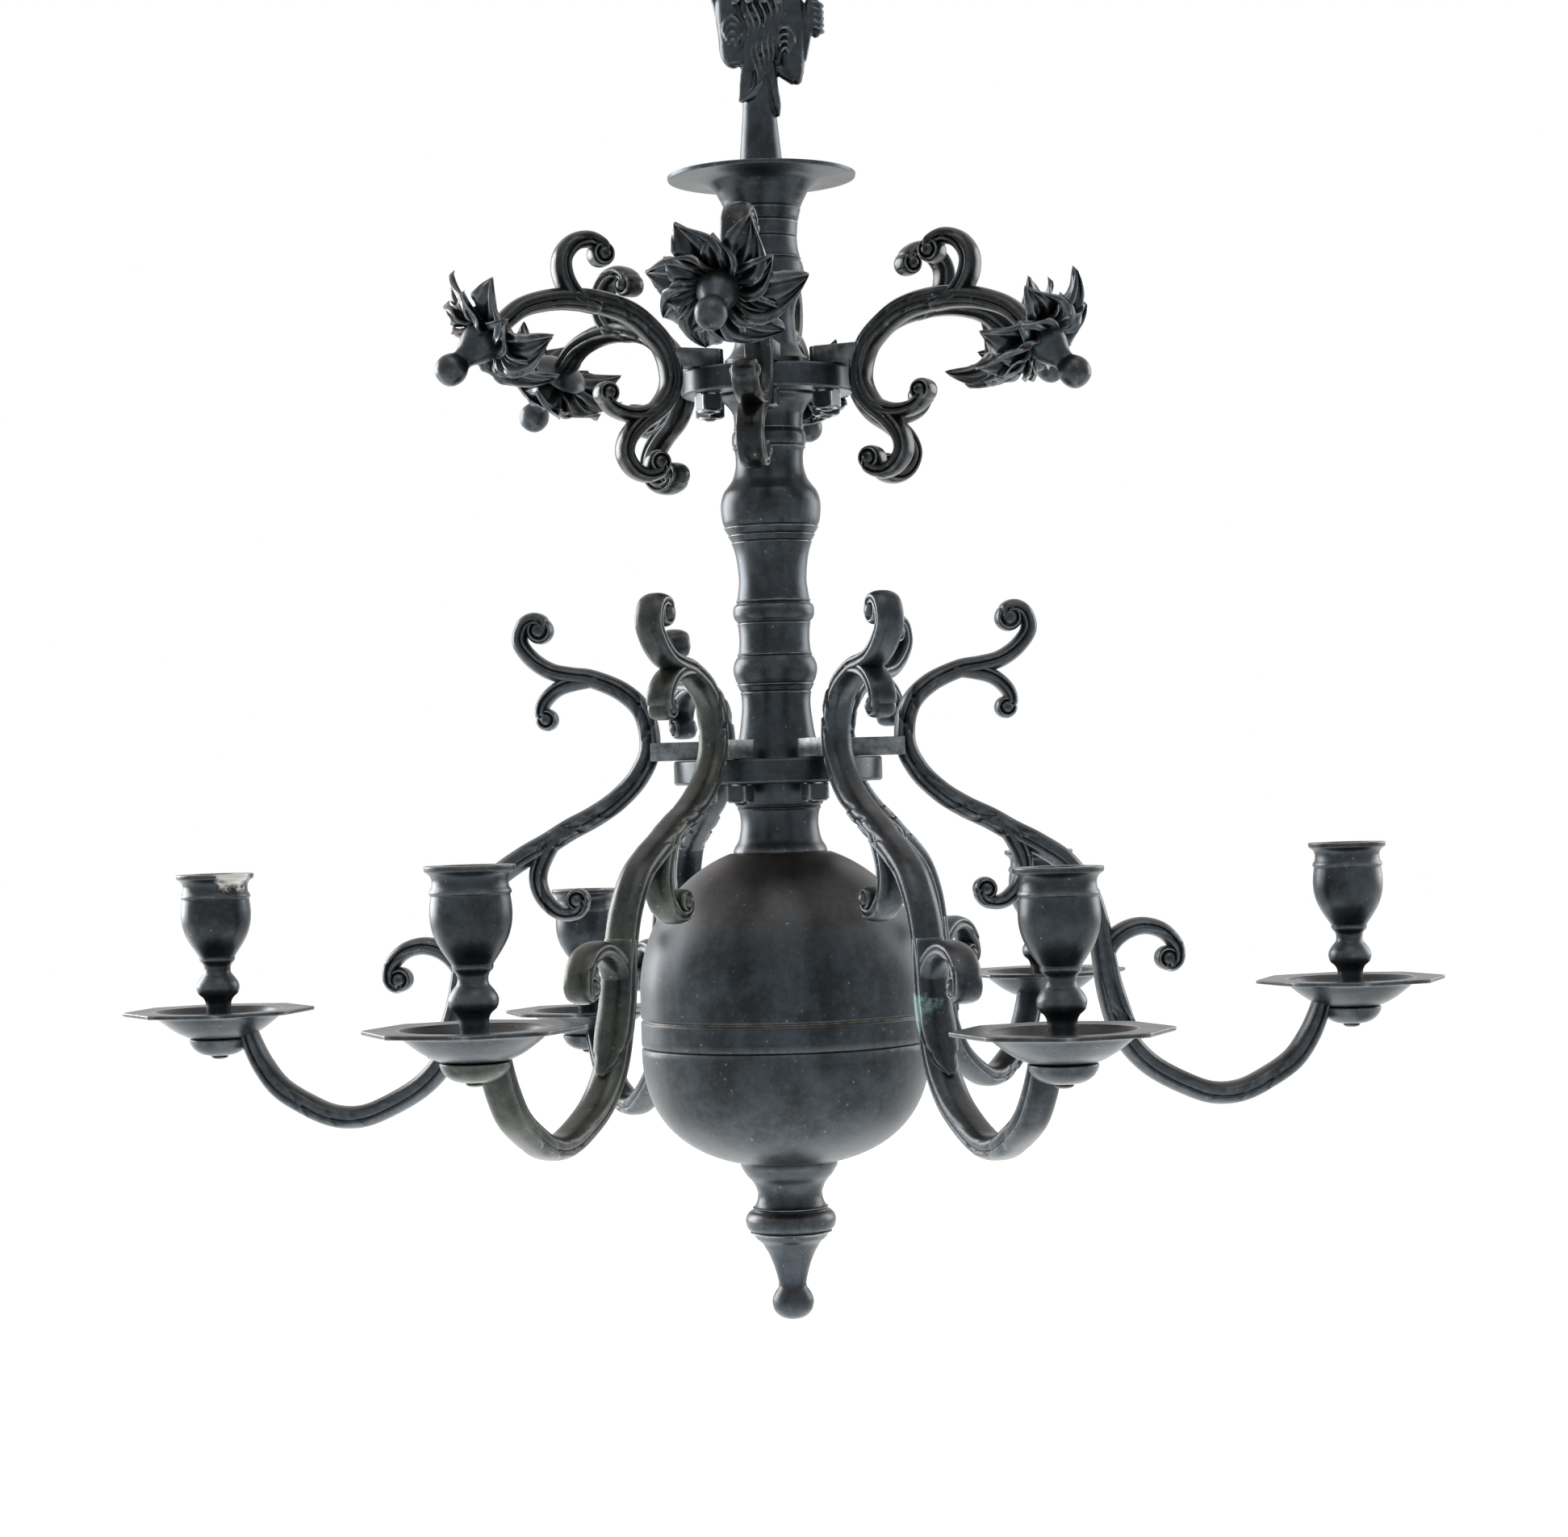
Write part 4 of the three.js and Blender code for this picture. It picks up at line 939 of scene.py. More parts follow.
def arm_foot(circle, end, width):
    """The flat tang of an arm, round at its inner end, and the peg that goes down through the plate, with
    its end hammered to a low dome."""
    half, inset = width / 2, 8
    arc = [(half - inset - half * math.cos(a), half * math.sin(a))
           for a in np.linspace(-math.pi / 2, math.pi / 2, 15)]
    tang = slab("tang", [(end, -half)] + arc + [(end, half)], bottom=0.3, top=9.4, rounding=0.5)
    peg = turned("peg", outline([
        [(0, -22.4), (1.8, -22.3), (3.1, -21.5)], [(3.5, -21.2)], [(3.5, 4)], [(0, 4)]]), sides=32)
    return moved(merged("rest", tang, peg), x=circle)


def stem_piece(name, node, runs, grooves=()):
    """A turned piece of the stem, bored for the rod, from runs that start at its foot."""
    mesh = turned(name, outline(runs, grooves), closed=True)
    piece(name, moved(mesh, z=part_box(node)[0].z / MM), node, "turned_bronze")


class CHANDELIER_OT_stage(bpy.types.Operator):
    """Makes the pale floor, the soft lights, the white surroundings and the camera"""
    bl_idname = "chandelier.stage"
    bl_label = "Stage and camera"

    def execute(self, context):
        stage = context.scene.stage
        size = stage.floor_size / 2
        level = CAD_BOX[0].z - stage.floor_drop
        corners = [(x * size, y * size, level) for x, y in ((-1, -1), (1, -1), (1, 1), (-1, 1))]
        mesh = mesh_from("floor", corners, [(0, 1, 2, 3)])
        if mesh.polygons[0].normal.z < 0:
            mesh.flip_normals()
        # Matt white paper: even, without shine, and a little brighter to the eye so that it reads as white
        paper = bpy.data.materials.new("white_paper")
        tree = emptied_tree(paper)
        matt = add(tree, "ShaderNodeBsdfDiffuse", {"Color": (*stage.floor_colour, 1)})
        share = add(tree, "ShaderNodeMath", {0: seen_share(tree), 1: 0.65}, operation="MULTIPLY")
        white = add(tree, "ShaderNodeEmission", {"Color": (1, 1, 1, 1), "Strength": share})
        lifted = add(tree, "ShaderNodeAddShader", {0: matt, 1: white})
        add(tree, "ShaderNodeOutputMaterial", {"Surface": lifted})
        mesh.materials.append(paper)
        placed("floor", mesh)

        # White to the eye and in mirrored views, and an even fill for the rest
        context.scene.world = bpy.data.worlds.new("surroundings")
        tree = emptied_tree(context.scene.world)
        seen = seen_share(tree)
        strength = add(tree, "ShaderNodeMapRange", {"Value": seen, "To Min": stage.fill, "To Max": 1.0})
        back = add(tree, "ShaderNodeBackground", {"Color": (1, 1, 1, 1), "Strength": strength})
        add(tree, "ShaderNodeOutputWorld", {"Surface": back})

        middle = Vector((0, 0, (CAD_BOX[0].z + CAD_BOX[1].z) / 2))
        for name, spot, side in (
                ("left_light", (-1.9, 1.0, 0.4), 1.5), ("right_light", (1.95, 1.0, 0.4), 1.4),
                ("top_light", (0.2, -0.9, 2.0), 1.4), ("low_light", (0.0, 0.0, -0.62), 0.7)):
            lamp = bpy.data.lights.new(name, "AREA")
            lamp.shape = "SQUARE"
            lamp.size = side
            lamp.energy = getattr(stage, name)
            made = placed(name, lamp)
            made.location = middle + Vector(spot)
            made.visible_camera = False
            made.rotation_euler = (middle - made.location).to_track_quat("-Z", "Y").to_euler()

        # Camera of the photograph: 1.68 m away and level, its frame leaning a little to the left. Its focal
        # length was 4200 of the photograph's pixels, and its axis stood 10 of them below the middle
        camera = bpy.data.cameras.new("camera")
        camera.sensor_fit = "HORIZONTAL"
        camera.sensor_width = 36
        camera.lens = 4200 * camera.sensor_width / PHOTO_WIDTH
        camera.shift_y = 10 / PHOTO_WIDTH
        camera.clip_end = 50
        made = placed("camera", camera)
        made.matrix_world = (Matrix.Translation((0.0028, -1.680, -0.4998))
                             @ Matrix.Rotation(math.radians(90), 4, "X")
                             @ Matrix.Rotation(math.radians(-1.63), 4, "Z"))
        context.scene.camera = made
        context.scene.view_settings.view_transform = "Standard"
        return {"FINISHED"}


class CHANDELIER_OT_stem(bpy.types.Operator):
    """Turns the trumpet, the long baluster and the spool of the stem"""
    bl_idname = "chandelier.stem"
    bl_label = "Turned stem"

    def execute(self, context):
        stem_piece("trumpet", "stem_trumpet", [
            [(ROD_HOLE, 0), (20.8, 0)],
            [(20.8, 5.4)],
            [(18.4, 7.6), (16.2, 11.4), (15.3, 15), (14.8, 19.5), (14.5, 27), (15.6, 33.5), (18.2, 39.4),
             (19.8, 44), (20, 47.5), (19.4, 51.5), (18.2, 55.6), (17.1, 60.6), (16.8, 65), (17.2, 72),
             (18.2, 77), (18.8, 79.6), (19.3, 81.6), (20.2, 83.8), (21.4, 86), (22.8, 88.6), (25, 91),
             (28, 93.2), (34, 94.6), (46.4, 95)],
            [(46.8, 97)],
            [(45.4, 97.1), (43.6, 96.2), (36, 95.4), (26, 93.6), (18, 91), (14, 90)],
            [(ROD_HOLE, 90)],
        ], grooves=(54.6, 65.6, 73.6, 80.2))
        stem_piece("baluster", "stem_baluster", [
            [(ROD_HOLE, 0), (21.5, 0)],
            [(20.4, 5), (18.4, 14), (17, 26), (17.5, 33), (19.1, 37.4), (20.6, 42.5), (20.6, 46.4),
             (18.8, 50.8), (17.8, 53.4), (17.4, 60), (18, 66.6), (19.9, 70.6), (19.9, 75), (18.2, 78),
             (17.2, 84), (16.8, 90), (18, 100.6), (20.2, 107.8), (23.4, 115), (24.6, 121.4), (24.6, 127),
             (23.2, 131.8), (21.4, 134.4), (19.6, 136.8), (18.2, 139.4), (16.8, 145), (16.9, 151.6),
             (18.2, 155), (18.2, 160), (17.1, 163.4), (17, 168), (17.6, 171.4), (21, 176), (26, 178.8)],
            [(26, 180)],
            [(ROD_HOLE, 180)],
        ], grooves=(33.4, 37.4, 51, 67.4, 77.4, 107.4, 111, 115, 154.6, 162.6))
        stem_piece("spool", "stem_spool", [
            [(ROD_HOLE, 0), (23.2, 0)],
            [(23.2, 1.4)],
            [(22.4, 3.2), (20.9, 5.6), (20, 8.4), (19.2, 14), (19.6, 19.4), (20.6, 22.2)],
            [(22, 24.8), (24.2, 31), (24.5, 34.5)],
            [(ROD_HOLE, 34.5)],
        ], grooves=(22.6,))
        return {"FINISHED"}


class CHANDELIER_OT_plates(bpy.types.Operator):
    """Turns the two thick discs that the arms are pegged to"""
    bl_idname = "chandelier.plates"
    bl_label = "Arm plates"

    def execute(self, context):
        for place, radius in (("upper", 42.8), ("lower", 51.6)):
            stem_piece(place + "_plate", place + "_arm_plate", [
                [(ROD_HOLE, 0), (radius - 0.9, 0)], [(radius, 0.9)], [(radius, 11.1)], [(radius - 0.9, 12)],
                [(ROD_HOLE, 12)]])
        return {"FINISHED"}


class CHANDELIER_OT_ball(bpy.types.Operator):
    """Turns the hollow ball, an upper half with the band and a squarer lower half"""
    bl_idname = "chandelier.ball"
    bl_label = "Ball"

    def execute(self, context):
        flat, inside, squareness = 25, 69, 2.4
        low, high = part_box("ball_upper_half")
        seam, top = low.z / MM, high.z / MM
        centre = top - math.sqrt(BALL ** 2 - flat ** 2)
        dome, hollow = (
            [(radius * math.cos(a), centre + radius * math.sin(a)) for a in np.linspace(*turns)]
            for radius, turns in ((BALL, (0, math.acos(flat / BALL), 40)), (inside, (1.2, 0, 10))))
        upper = outline([
            [(70.2, seam), (70.9, seam + 0.35), (BALL, seam + 1.3)],
            [(BALL, seam + 4), (BALL, seam + 8), (BALL, seam + 12.4)],
            [(70.3, seam + 13.6)],
            [(BALL, seam + 14.8)],
            [(BALL, seam + 17), (BALL, seam + 20), (BALL, seam + 24)] + dome,
            [(ROD_HOLE, top)],
            [(ROD_HOLE, top - 2.4)],
            hollow + [(inside, seam)],
        ], step=3)
        low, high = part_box("ball_lower_half")
        seam, bottom = high.z / MM, low.z / MM
        depth = (seam - bottom) / (1 - (flat / BALL) ** squareness) ** (1 / squareness)
        bowl = [(BALL * math.cos(a) ** (2 / squareness), seam - depth * math.sin(a) ** (2 / squareness))
                for a in np.linspace(0.06, math.acos((flat / BALL) ** (squareness / 2)), 44)]
        lower = outline([
            [(inside, seam), (70.2, seam)],
            [(70.9, seam - 0.35), (BALL, seam - 1.3)],
            bowl[1:],
            [(ROD_HOLE, bottom)],
            [(ROD_HOLE, bottom + 2.4)],
            [(24, bottom + 2.6), (44, bottom + 8), (60, bottom + 24), (68, bottom + 42), (inside, seam)],
        ], step=3)
        for part, line, closed in (("ball_upper", upper, True), ("ball_lower", lower, False)):
            piece(part, turned(part, line, closed=closed), part + "_half", "ball_bronze")
        return {"FINISHED"}


class CHANDELIER_OT_finial(bpy.types.Operator):
    """Turns the finial under the ball, which ends in a small ball of its own"""
    bl_idname = "chandelier.finial"
    bl_label = "Bottom finial"

    def execute(self, context):
        line = outline([
            [(ROD_HOLE, 0), (24, 0)],
            [(24, -2.2)],
            [(22.6, -4.6), (21, -7), (18.6, -9.6), (17.2, -12), (16, -15.6), (16.4, -19), (17.4, -21.4),
             (19.2, -23.8), (21.6, -26.2), (22.4, -28.6), (22.2, -31), (21.2, -33.4), (19, -35.8),
             (17.2, -38.2)],
            [(14.6, -40.4), (13, -43), (11.6, -45.4), (9.6, -50.2), (8.1, -55), (6.9, -60.4), (7.2, -62.6)],
            [(8.6, -64.6), (9.9, -67.2), (10.4, -70.4), (9.4, -74), (6.8, -76.8), (3.4, -78.2), (0, -78.5)],
        ], grooves=(-23.4, -34.4))
        line = np.vstack([[(0, 0, 0)], line[1:]])
        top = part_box("bottom_finial")[1].z / MM
        piece("finial", moved(turned("finial", line), z=top), "bottom_finial", "turned_bronze")
        return {"FINISHED"}


class CHANDELIER_OT_nuts(bpy.types.Operator):
    """Files the square nuts that hold the arms' pegs under the plates"""
    bl_idname = "chandelier.nuts"
    bl_label = "Square nuts"

    def execute(self, context):
        corner = 5.1 * math.sqrt(2)
        line = outline([[(3.7, -12.3, 0), (5.6, -12.3, 0)], [(corner, -12.9, 1)], [(corner, -20.2, 1)],
                        [(5.6, -21.2, 0)], [(3.7, -21.2, 0)]])
        for kind, place, circle in (("candle_arm_nut", candle_place, CANDLE_PEG_CIRCLE),
                                    ("scroll_arm_nut", scroll_place, SCROLL_PEG_CIRCLE)):
            nut = moved(turned(kind, line, sides=64, flats=4, closed=True), x=circle)
            six(kind + "_{}_filed", kind, nut, "old_iron", place)
        return {"FINISHED"}


class CHANDELIER_OT_candle_arms(bpy.types.Operator):
    """Casts the six large scrolled arms that carry the candles"""
    bl_idname = "chandelier.candle_arms"
    bl_label = "Candle arms"

    def execute(self, context):
        bars = cast_bars("candle_arm", CANDLE_ARM_STRANDS, "cast_bronze")
        rest = arm_foot(CANDLE_PEG_CIRCLE, 26.5, 15)
        boss = turned("boss", outline([
            [(0, -8.6), (5, -8.5), (9.4, -7.4), (12.6, -5.2), (14.4, -2.6), (15, -0.6)],
            [(14.9, 0)],
            [(0, 0)],
        ]), sides=64)
        for i in range(6):
            bow, foot, end = bars.copy(), rest.copy(), boss.copy()
            bow.transform(candle_place(i) @ bend(CANDLE_TANG_END, CANDLE_ARM_BENDS[i]))
            foot.transform(candle_place(i))
            end.transform(candle_seat(i))
            slot, material = (("green_bronze", "olive_bronze"), ("bronze", "spotted_bronze"),
                              ("bronze", "cast_bronze"))[min(i, 2)]
            piece(f"candle_scroll_{i + 1}", merged("candle_arm", bow, foot, end), f"candle_arm_{i + 1}",
                  material)
        for mesh in (bars, rest, boss):
            bpy.data.meshes.remove(mesh)
        return {"FINISHED"}


class CHANDELIER_OT_pans(bpy.types.Operator):
    """Makes the six drip pans, a round bowl in an eight-sided flange"""
    bl_idname = "chandelier.pans"
    bl_label = "Drip pans"

    def execute(self, context):
        line = outline([
            [(0, 0.3), (12.6, 0.3)],
            [(16, 1.1), (22, 4.2), (28, 8.6), (31, 11.2), (33.4, 12.2, 0.1), (36, 12.5, 0.3)],
            [(47.5, 12.6, 1)], [(47.8, 14.4, 1)], [(47, 14.6, 1)],
            [(33, 14.3, 0.15), (31.4, 14.1)],
            [(30.4, 13.4), (28, 11), (22, 6.4), (16, 3.2), (12, 2.3)],
            [(0, 2.3)],
        ])
        six("pan_{}", "drip_pan", turned("pan", line, sides=128), "pan_bronze",
            lambda i: candle_seat(i) @ Matrix.Rotation(math.radians(PAN_TURNS[i]), 4, "Z"))
        return {"FINISHED"}


class CHANDELIER_OT_cups(bpy.types.Operator):
    """Turns the six candle cups with the studs that hold pans and arms together"""
    bl_idname = "chandelier.cups"
    bl_label = "Candle cups"

    def execute(self, context):
        line = outline([
            [(0, -10.3), (2.6, -10.2), (4.2, -9.4)], [(4.2, -8.7)], [(3, -8.6)], [(3, 2.6)], [(9.4, 2.6)],
            [(9.9, 3.4), (8.6, 5.6), (7, 8.2), (6.2, 11), (6.1, 13.6), (6.3, 16), (6.5, 18.4), (7.6, 20.6),
             (9.9, 22.7), (10.7, 25.3), (10.4, 27.8), (8.6, 30.7), (7, 32.6), (6.5, 34.4), (6.7, 36.4),
             (7.4, 37.8)],
            [(8.6, 39), (8.9, 40.1), (8.8, 41.1)],
            [(10.5, 43.6), (13, 47.4), (15.4, 52), (16.9, 57), (17.4, 62), (17.2, 66.4), (16.7, 70.2)],
            [(17.3, 70.8), (17.4, 71.6), (17.1, 72.4)],
            [(16.4, 73.4), (16.1, 75.2), (16.2, 77.2), (17.2, 79), (19.1, 80.3)],
            [(19.4, 82.4)], [(18.8, 82.6), (12.3, 82.6)], [(11.8, 82)], [(11.8, 48.6)], [(0, 48.6)],
        ])
        six("cup_{}", "candle_cup", turned("cup", line, sides=80), "turned_bronze", candle_seat,
            last="waxed_bronze")
        return {"FINISHED"}


class CHANDELIER_OT_scroll_arms(bpy.types.Operator):
    """Casts the six small scrolled arms that carry the flowers"""
    bl_idname = "chandelier.scroll_arms"
    bl_label = "Scroll arms"

    def execute(self, context):
        bars = cast_bars("scroll_arm", SCROLL_ARM_STRANDS, "black_bronze")
        rest = arm_foot(SCROLL_PEG_CIRCLE, 20, 13.5)
        for i in range(6):
            bow, foot = bars.copy(), rest.copy()
            bow.transform(scroll_place(i) @ bend(SCROLL_TANG_END, SCROLL_ARM_BENDS[i]))
            foot.transform(scroll_place(i))
            piece(f"small_scroll_{i + 1}", merged("scroll_arm", bow, foot), f"scroll_arm_{i + 1}",
                  "black_bronze")
        bpy.data.meshes.remove(bars)
        bpy.data.meshes.remove(rest)
        return {"FINISHED"}


def flower_place(i):
    """Place of what is drawn along z on the seat of scroll arm i's flower."""
    return (scroll_place(i) @ bend(SCROLL_TANG_END, SCROLL_ARM_BENDS[i])
            @ Matrix.Translation((FLOWER_REACH * MM, 0, FLOWER_RISE * MM))
            @ Matrix.Rotation(math.radians(FLOWER_TILT), 4, "Y"))


# Petals of a flower: angle from its upper side, length, width, raise and droop, in degrees and millimetres
PETALS = [
    (-72, 35, 23, 7, 6), (-20, 33, 24, 7, 6), (42, 34, 24, 7, 6), (104, 39, 25, 8, 4), (148, 37, 23, 9, 4),
    (-150, 35, 23, 9, 4), (-110, 34, 22, 8, 5), (-46, 28, 18, 9, 1), (12, 26, 17, 9, 2), (74, 29, 18, 9, 1),
    (126, 29, 18, 10, 1), (178, 28, 18, 10, 1), (-130, 28, 17, 9, 1), (-92, 27, 17, 9, 2),
]
PETAL_TWIST = -16
PETAL_SIZE = (36, 18)
PETAL_OUTLINE = [
    (0, 0.4), (0.15, 0.5), (0.35, 0.84), (0.55, 1), (0.72, 0.92), (0.86, 0.62), (0.95, 0.3), (1, 0.05)]
FLOWER_SPINS = (0, 25, -40, 60, 15, -20)


class CHANDELIER_OT_flowers(bpy.types.Operator):
    """Casts the six leafy flowers at the ends of the scroll arms"""
    bl_idname = "chandelier.flowers"
    bl_label = "Flowers"

    def execute(self, context):
        long, wide = PETAL_SIZE
        petal = blade("petal", long, wide, thick=2.2, widths=PETAL_OUTLINE, ridges=3.0, ridge_depth=1.5,
                      cup=0.5, sway=5.5, ruffle=1.8)
        rows = [((0, 0, 3.0), (math.radians(PETAL_TWIST), 0, math.radians(180 - angle)),
                 (reach / long, breadth / wide, 1), lift, droop)
                for angle, reach, breadth, lift, droop in PETALS]
        petals = laid("petals", petal, rows, long, "petal_bronze")
        hub = turned("hub", outline([
            [(0, 0.3), (6, 0.3)], [(11, 2), (14.6, 4.4), (15, 5.6)], [(9, 6.3)], [(0, 6.3)]]), sides=48)
        six("petals_{}", "flower", merged("flower", petals, hub), "petal_bronze",
            lambda i: flower_place(i) @ Matrix.Rotation(math.radians(FLOWER_SPINS[i]), 4, "Z"), sharp=60)
        return {"FINISHED"}


class CHANDELIER_OT_pistils(bpy.types.Operator):
    """Turns the six ball-tipped pistils that screw the flowers on"""
    bl_idname = "chandelier.pistils"
    bl_label = "Pistils"

    def execute(self, context):
        line = outline([
            [(0, -6), (2.4, -6)],
            [(2.4, 6.3)],
            [(5.4, 6.3)],
            [(8, 7.6), (9.5, 10.4), (9.9, 13.8), (9.4, 17.4), (7.6, 21.4), (5.8, 24.6), (5.1, 27),
             (5.4, 28.8)],
            [(6.5, 30.6), (7.5, 33.2), (7.6, 35.6), (6.8, 38.8), (4.9, 41.2), (2.5, 42.2), (0, 42.4)],
        ])
        six("pistil_{}_turned", "pistil", turned("pistil", line, sides=56), "turned_bronze",
            flower_place)
        return {"FINISHED"}


def feather_turn(direction, facing):
    """Turn that lays a blade's length along a direction with its back towards facing."""
    x = Vector(direction).normalized()
    z = (Vector(facing) - x * x.dot(Vector(facing))).normalized()
    y = z.cross(x)
    return Matrix((x, y, z)).transposed().to_euler()


WING_EDGE = [(15, 132), (22, 141), (32, 149), (44, 153), (54, 150), (60, 141)]
WING_TIPS = [(19, 94), (28, 95), (37, 99), (46, 105), (54, 113), (60.5, 124)]
# Rows of a wing's feathers: how many, where they start and end from edge to tips, width and lift
WING_ROWS = [(9, 0.18, 1.0, 9.5, 1.2), (10, 0.1, 0.6, 7.5, 2.3), (11, 0.02, 0.32, 6, 3.2)]


def wing_rows(side, face):
    """Feathers of one wing on one face: long ones along the trailing edge, two rows of coverts over them."""
    rows = []
    edge, tips = smooth_run(WING_EDGE, 0.5), smooth_run(WING_TIPS, 0.5)
    for total, start, reach, width, lift in WING_ROWS:
        for k in range(total):
            share = (k + 0.4) / total
            base, tip = (line[int(share * (len(line) - 1))] for line in (edge, tips))
            first = base + (tip - base) * start
            way = (tip - base) * (reach - start)
            rows.append(((side * first[0], face * lift, first[1]),
                         feather_turn((side * way[0], 0, way[1]), (0, face, 0)),
                         (np.linalg.norm(way) / FEATHER_SIZE[0], width / FEATHER_SIZE[1], 1), 0, 0))
    return rows


def round_ways(total, row):
    """Level directions all round, with every other row shifted by half a step."""
    turns = [2 * math.pi * (k + 0.5 * (row % 2)) / total for k in range(total)]
    return [Vector((math.cos(a), math.sin(a), 0)) for a in turns]


def breast_rows():
    """Small feathers in rows round the body and down the necks."""
    rows = []
    for row in range(8):
        height = 134 - row * 6.4
        swell = math.sqrt(max(0.06, 1 - ((height - 112) / 27) ** 2))
        for out in round_ways(14, row):
            rows.append(((17.4 * swell * out.x, 12.4 * swell * out.y, height + 3),
                         feather_turn(Vector((0, 0, -1)) + out * (0.24 - (height - 112) * 0.012), out),
                         (0.5, 0.85, 1), 0, 0))
    for side in (-1, 1):
        for row in range(4):
            for out in round_ways(8, row):
                rows.append(((side * (5 + 3 * row) + out.x * 6.6, out.y * 5.6, 134 + 5 * row),
                             feather_turn(Vector((-side * 0.35, 0, -1)) + out * 0.2, out),
                             (0.4, 0.7, 1), 0, 0))
    return rows


def plume_lines():
    """Wavy strands of the tail, combed together and down on to the front and back of the conical foot."""
    lines = []
    for k in range(30):
        a = 2 * math.pi * (k + 0.5) / 30
        middle = math.pi / 2 if a < math.pi else 3 * math.pi / 2
        line = []
        for height in np.arange(101, 47 + 15 * abs(math.cos(a)) + 2 * (k % 3), -2.5):
            core, depth = sized(height, [(46, 8.6, 8.4), (56, 9.6, 8.9), (68, 12, 10), (98, 15, 11.6)])
            gathered = np.interp(height, [46, 56, 70], [0.35, 0.75, 1])
            turn = middle + (a - middle) * gathered + 0.14 * math.sin(height / 4 + 1.3 * math.sin(a * 2))
            aside = np.interp(height, [46, 60, 80, 100], [-0.6, 0, 2.4, 3])
            line.append((aside + core * math.cos(turn), depth * math.sin(turn), height))
        lines.append((line, [(0, 0.95, 1.5), (0.6, 0.9, 1.4), (0.9, 0.8, 1), (1, 0.4, 0.4)], 9))
    return lines


# The eagle's limbs in millimetres over its seat: points, then (share, half width, half depth), then sides
EAGLE_LIMBS = [
    # Core of the tail and its upper covering
    ([(0, 0, 30), (0.4, 0, 48), (0.6, 0, 66), (0.4, 0, 84), (0, 0, 100)],
     [(0, 7.2, 7.2), (0.3, 9, 8), (0.5, 9.4, 8), (0.75, 11, 9), (1, 14, 10)], 24),
    ([(3, 0, 96), (2, 0, 80), (0, 0, 62)], [(0, 14, 10.6), (0.5, 12.4, 9.8), (1, 9, 8.4)], 24),
    # Curled leaf and hook where the tail meets the cone
    ([(-3.4, -6.6, 66), (-6, -7.4, 54), (-7.4, -6.8, 46), (-9.4, -6.4, 42.4)],
     [(0, 3, 2.4), (0.5, 3.4, 2.2), (0.85, 2.6, 1.5), (1, 1.4, 0.7)], 14),
    ([(1.6, -8, 52), (-3, -8.6, 45.6), (-8.6, -7, 42.6)], [(0, 1.4, 1), (0.5, 1.8, 1.3), (1, 1, 0.8)], 14),
    ([(5.6, -6.4, 62), (7.4, -6.4, 50), (9, -5, 41), (9.4, -3.4, 35.4)],
     [(0, 2.4, 2), (0.5, 2.2, 2), (0.8, 1.9, 1.9), (1, 0.8, 0.8)], 14),
    # Legs that end in round feet
    ([(-8, -1, 108), (-12.6, -2, 96), (-13.2, -3, 84), (-12.6, -3, 72)],
     [(0, 6.5, 6), (0.35, 7, 6.4), (1, 6.2, 6)], 24),
    ([(-16, -5, 66), (-11, -6, 62.4), (-6, -5.6, 62)], [(0, 1.2, 1.4), (0.5, 2, 2), (1, 1, 1)], 14),
    ([(11, -1, 106), (15.6, -2, 92), (16.8, -3, 78), (16.8, -3, 66)],
     [(0, 7, 6), (0.4, 7.2, 6), (1, 6.6, 5.6)], 24),
    ([(16.8, -3, 67), (17, -3, 61), (18, -3.2, 56), (19.6, -3.2, 51.6)],
     [(0, 6.6, 5.8), (0.4, 6.2, 5.4), (0.75, 4.6, 4.4), (1, 2, 2.4)], 24),
    ([(9.6, -3.4, 59), (13, -3.8, 56.4), (18, -3.4, 53.6)], [(0, 2.6, 2.6), (1, 3.4, 3.6)], 20),
    # Rods that the feet hold
    ([(-21.4, 0, 99), (-19, -1, 90), (-17.4, -1.6, 80), (-17, -2, 68)],
     [(0, 2.4, 2.4), (0.5, 2.6, 2.6), (1, 2, 2)], 18),
    ([(27.4, -2, 98), (26, -2.8, 86), (24.4, -3.2, 75), (22.4, -3.2, 63)],
     [(0, 2.4, 2.4), (0.5, 2.6, 2.6), (1, 1.8, 1.8)], 18),
    # Eye for the ring, on a short neck between the heads
    ([(0, 0, 128), (0, 0, 146), (0, 0, 162)], [(0, 9, 5), (0.5, 6.4, 3.4), (1, 6.4, 2.9)], 20),
    # Folds round the knob of the right rod
    *[([(28.8 + 4.1 * math.cos(b), -0.6 + 4.5 * math.sin(b), 90 - k * 3.2 - 0.8 * b)
        for b in np.linspace(-2.2, 1.0, 14)], [(0, 0.4, 0.4), (0.5, 0.7, 0.7), (1, 0.4, 0.4)], 8)
      for k in range(5)],
    # Folds over both feet, front and back
    *[([(x + 5 * size * math.sin(b), -3 + face * 6.1, z + reach * size * math.cos(b) - 1.6 * k)
        for b in np.linspace(-1.3, 1.5, 10)], [(0, 0.5, 0.7), (0.5, 1, 1), (1, 0.5, 0.7)], 8)
      for x, z, reach in ((-12.4, 74, 10), (13.4, 70, 8)) for face in (-1, 1)
      for k, size in enumerate((1, 0.78, 0.56, 0.34))],
]

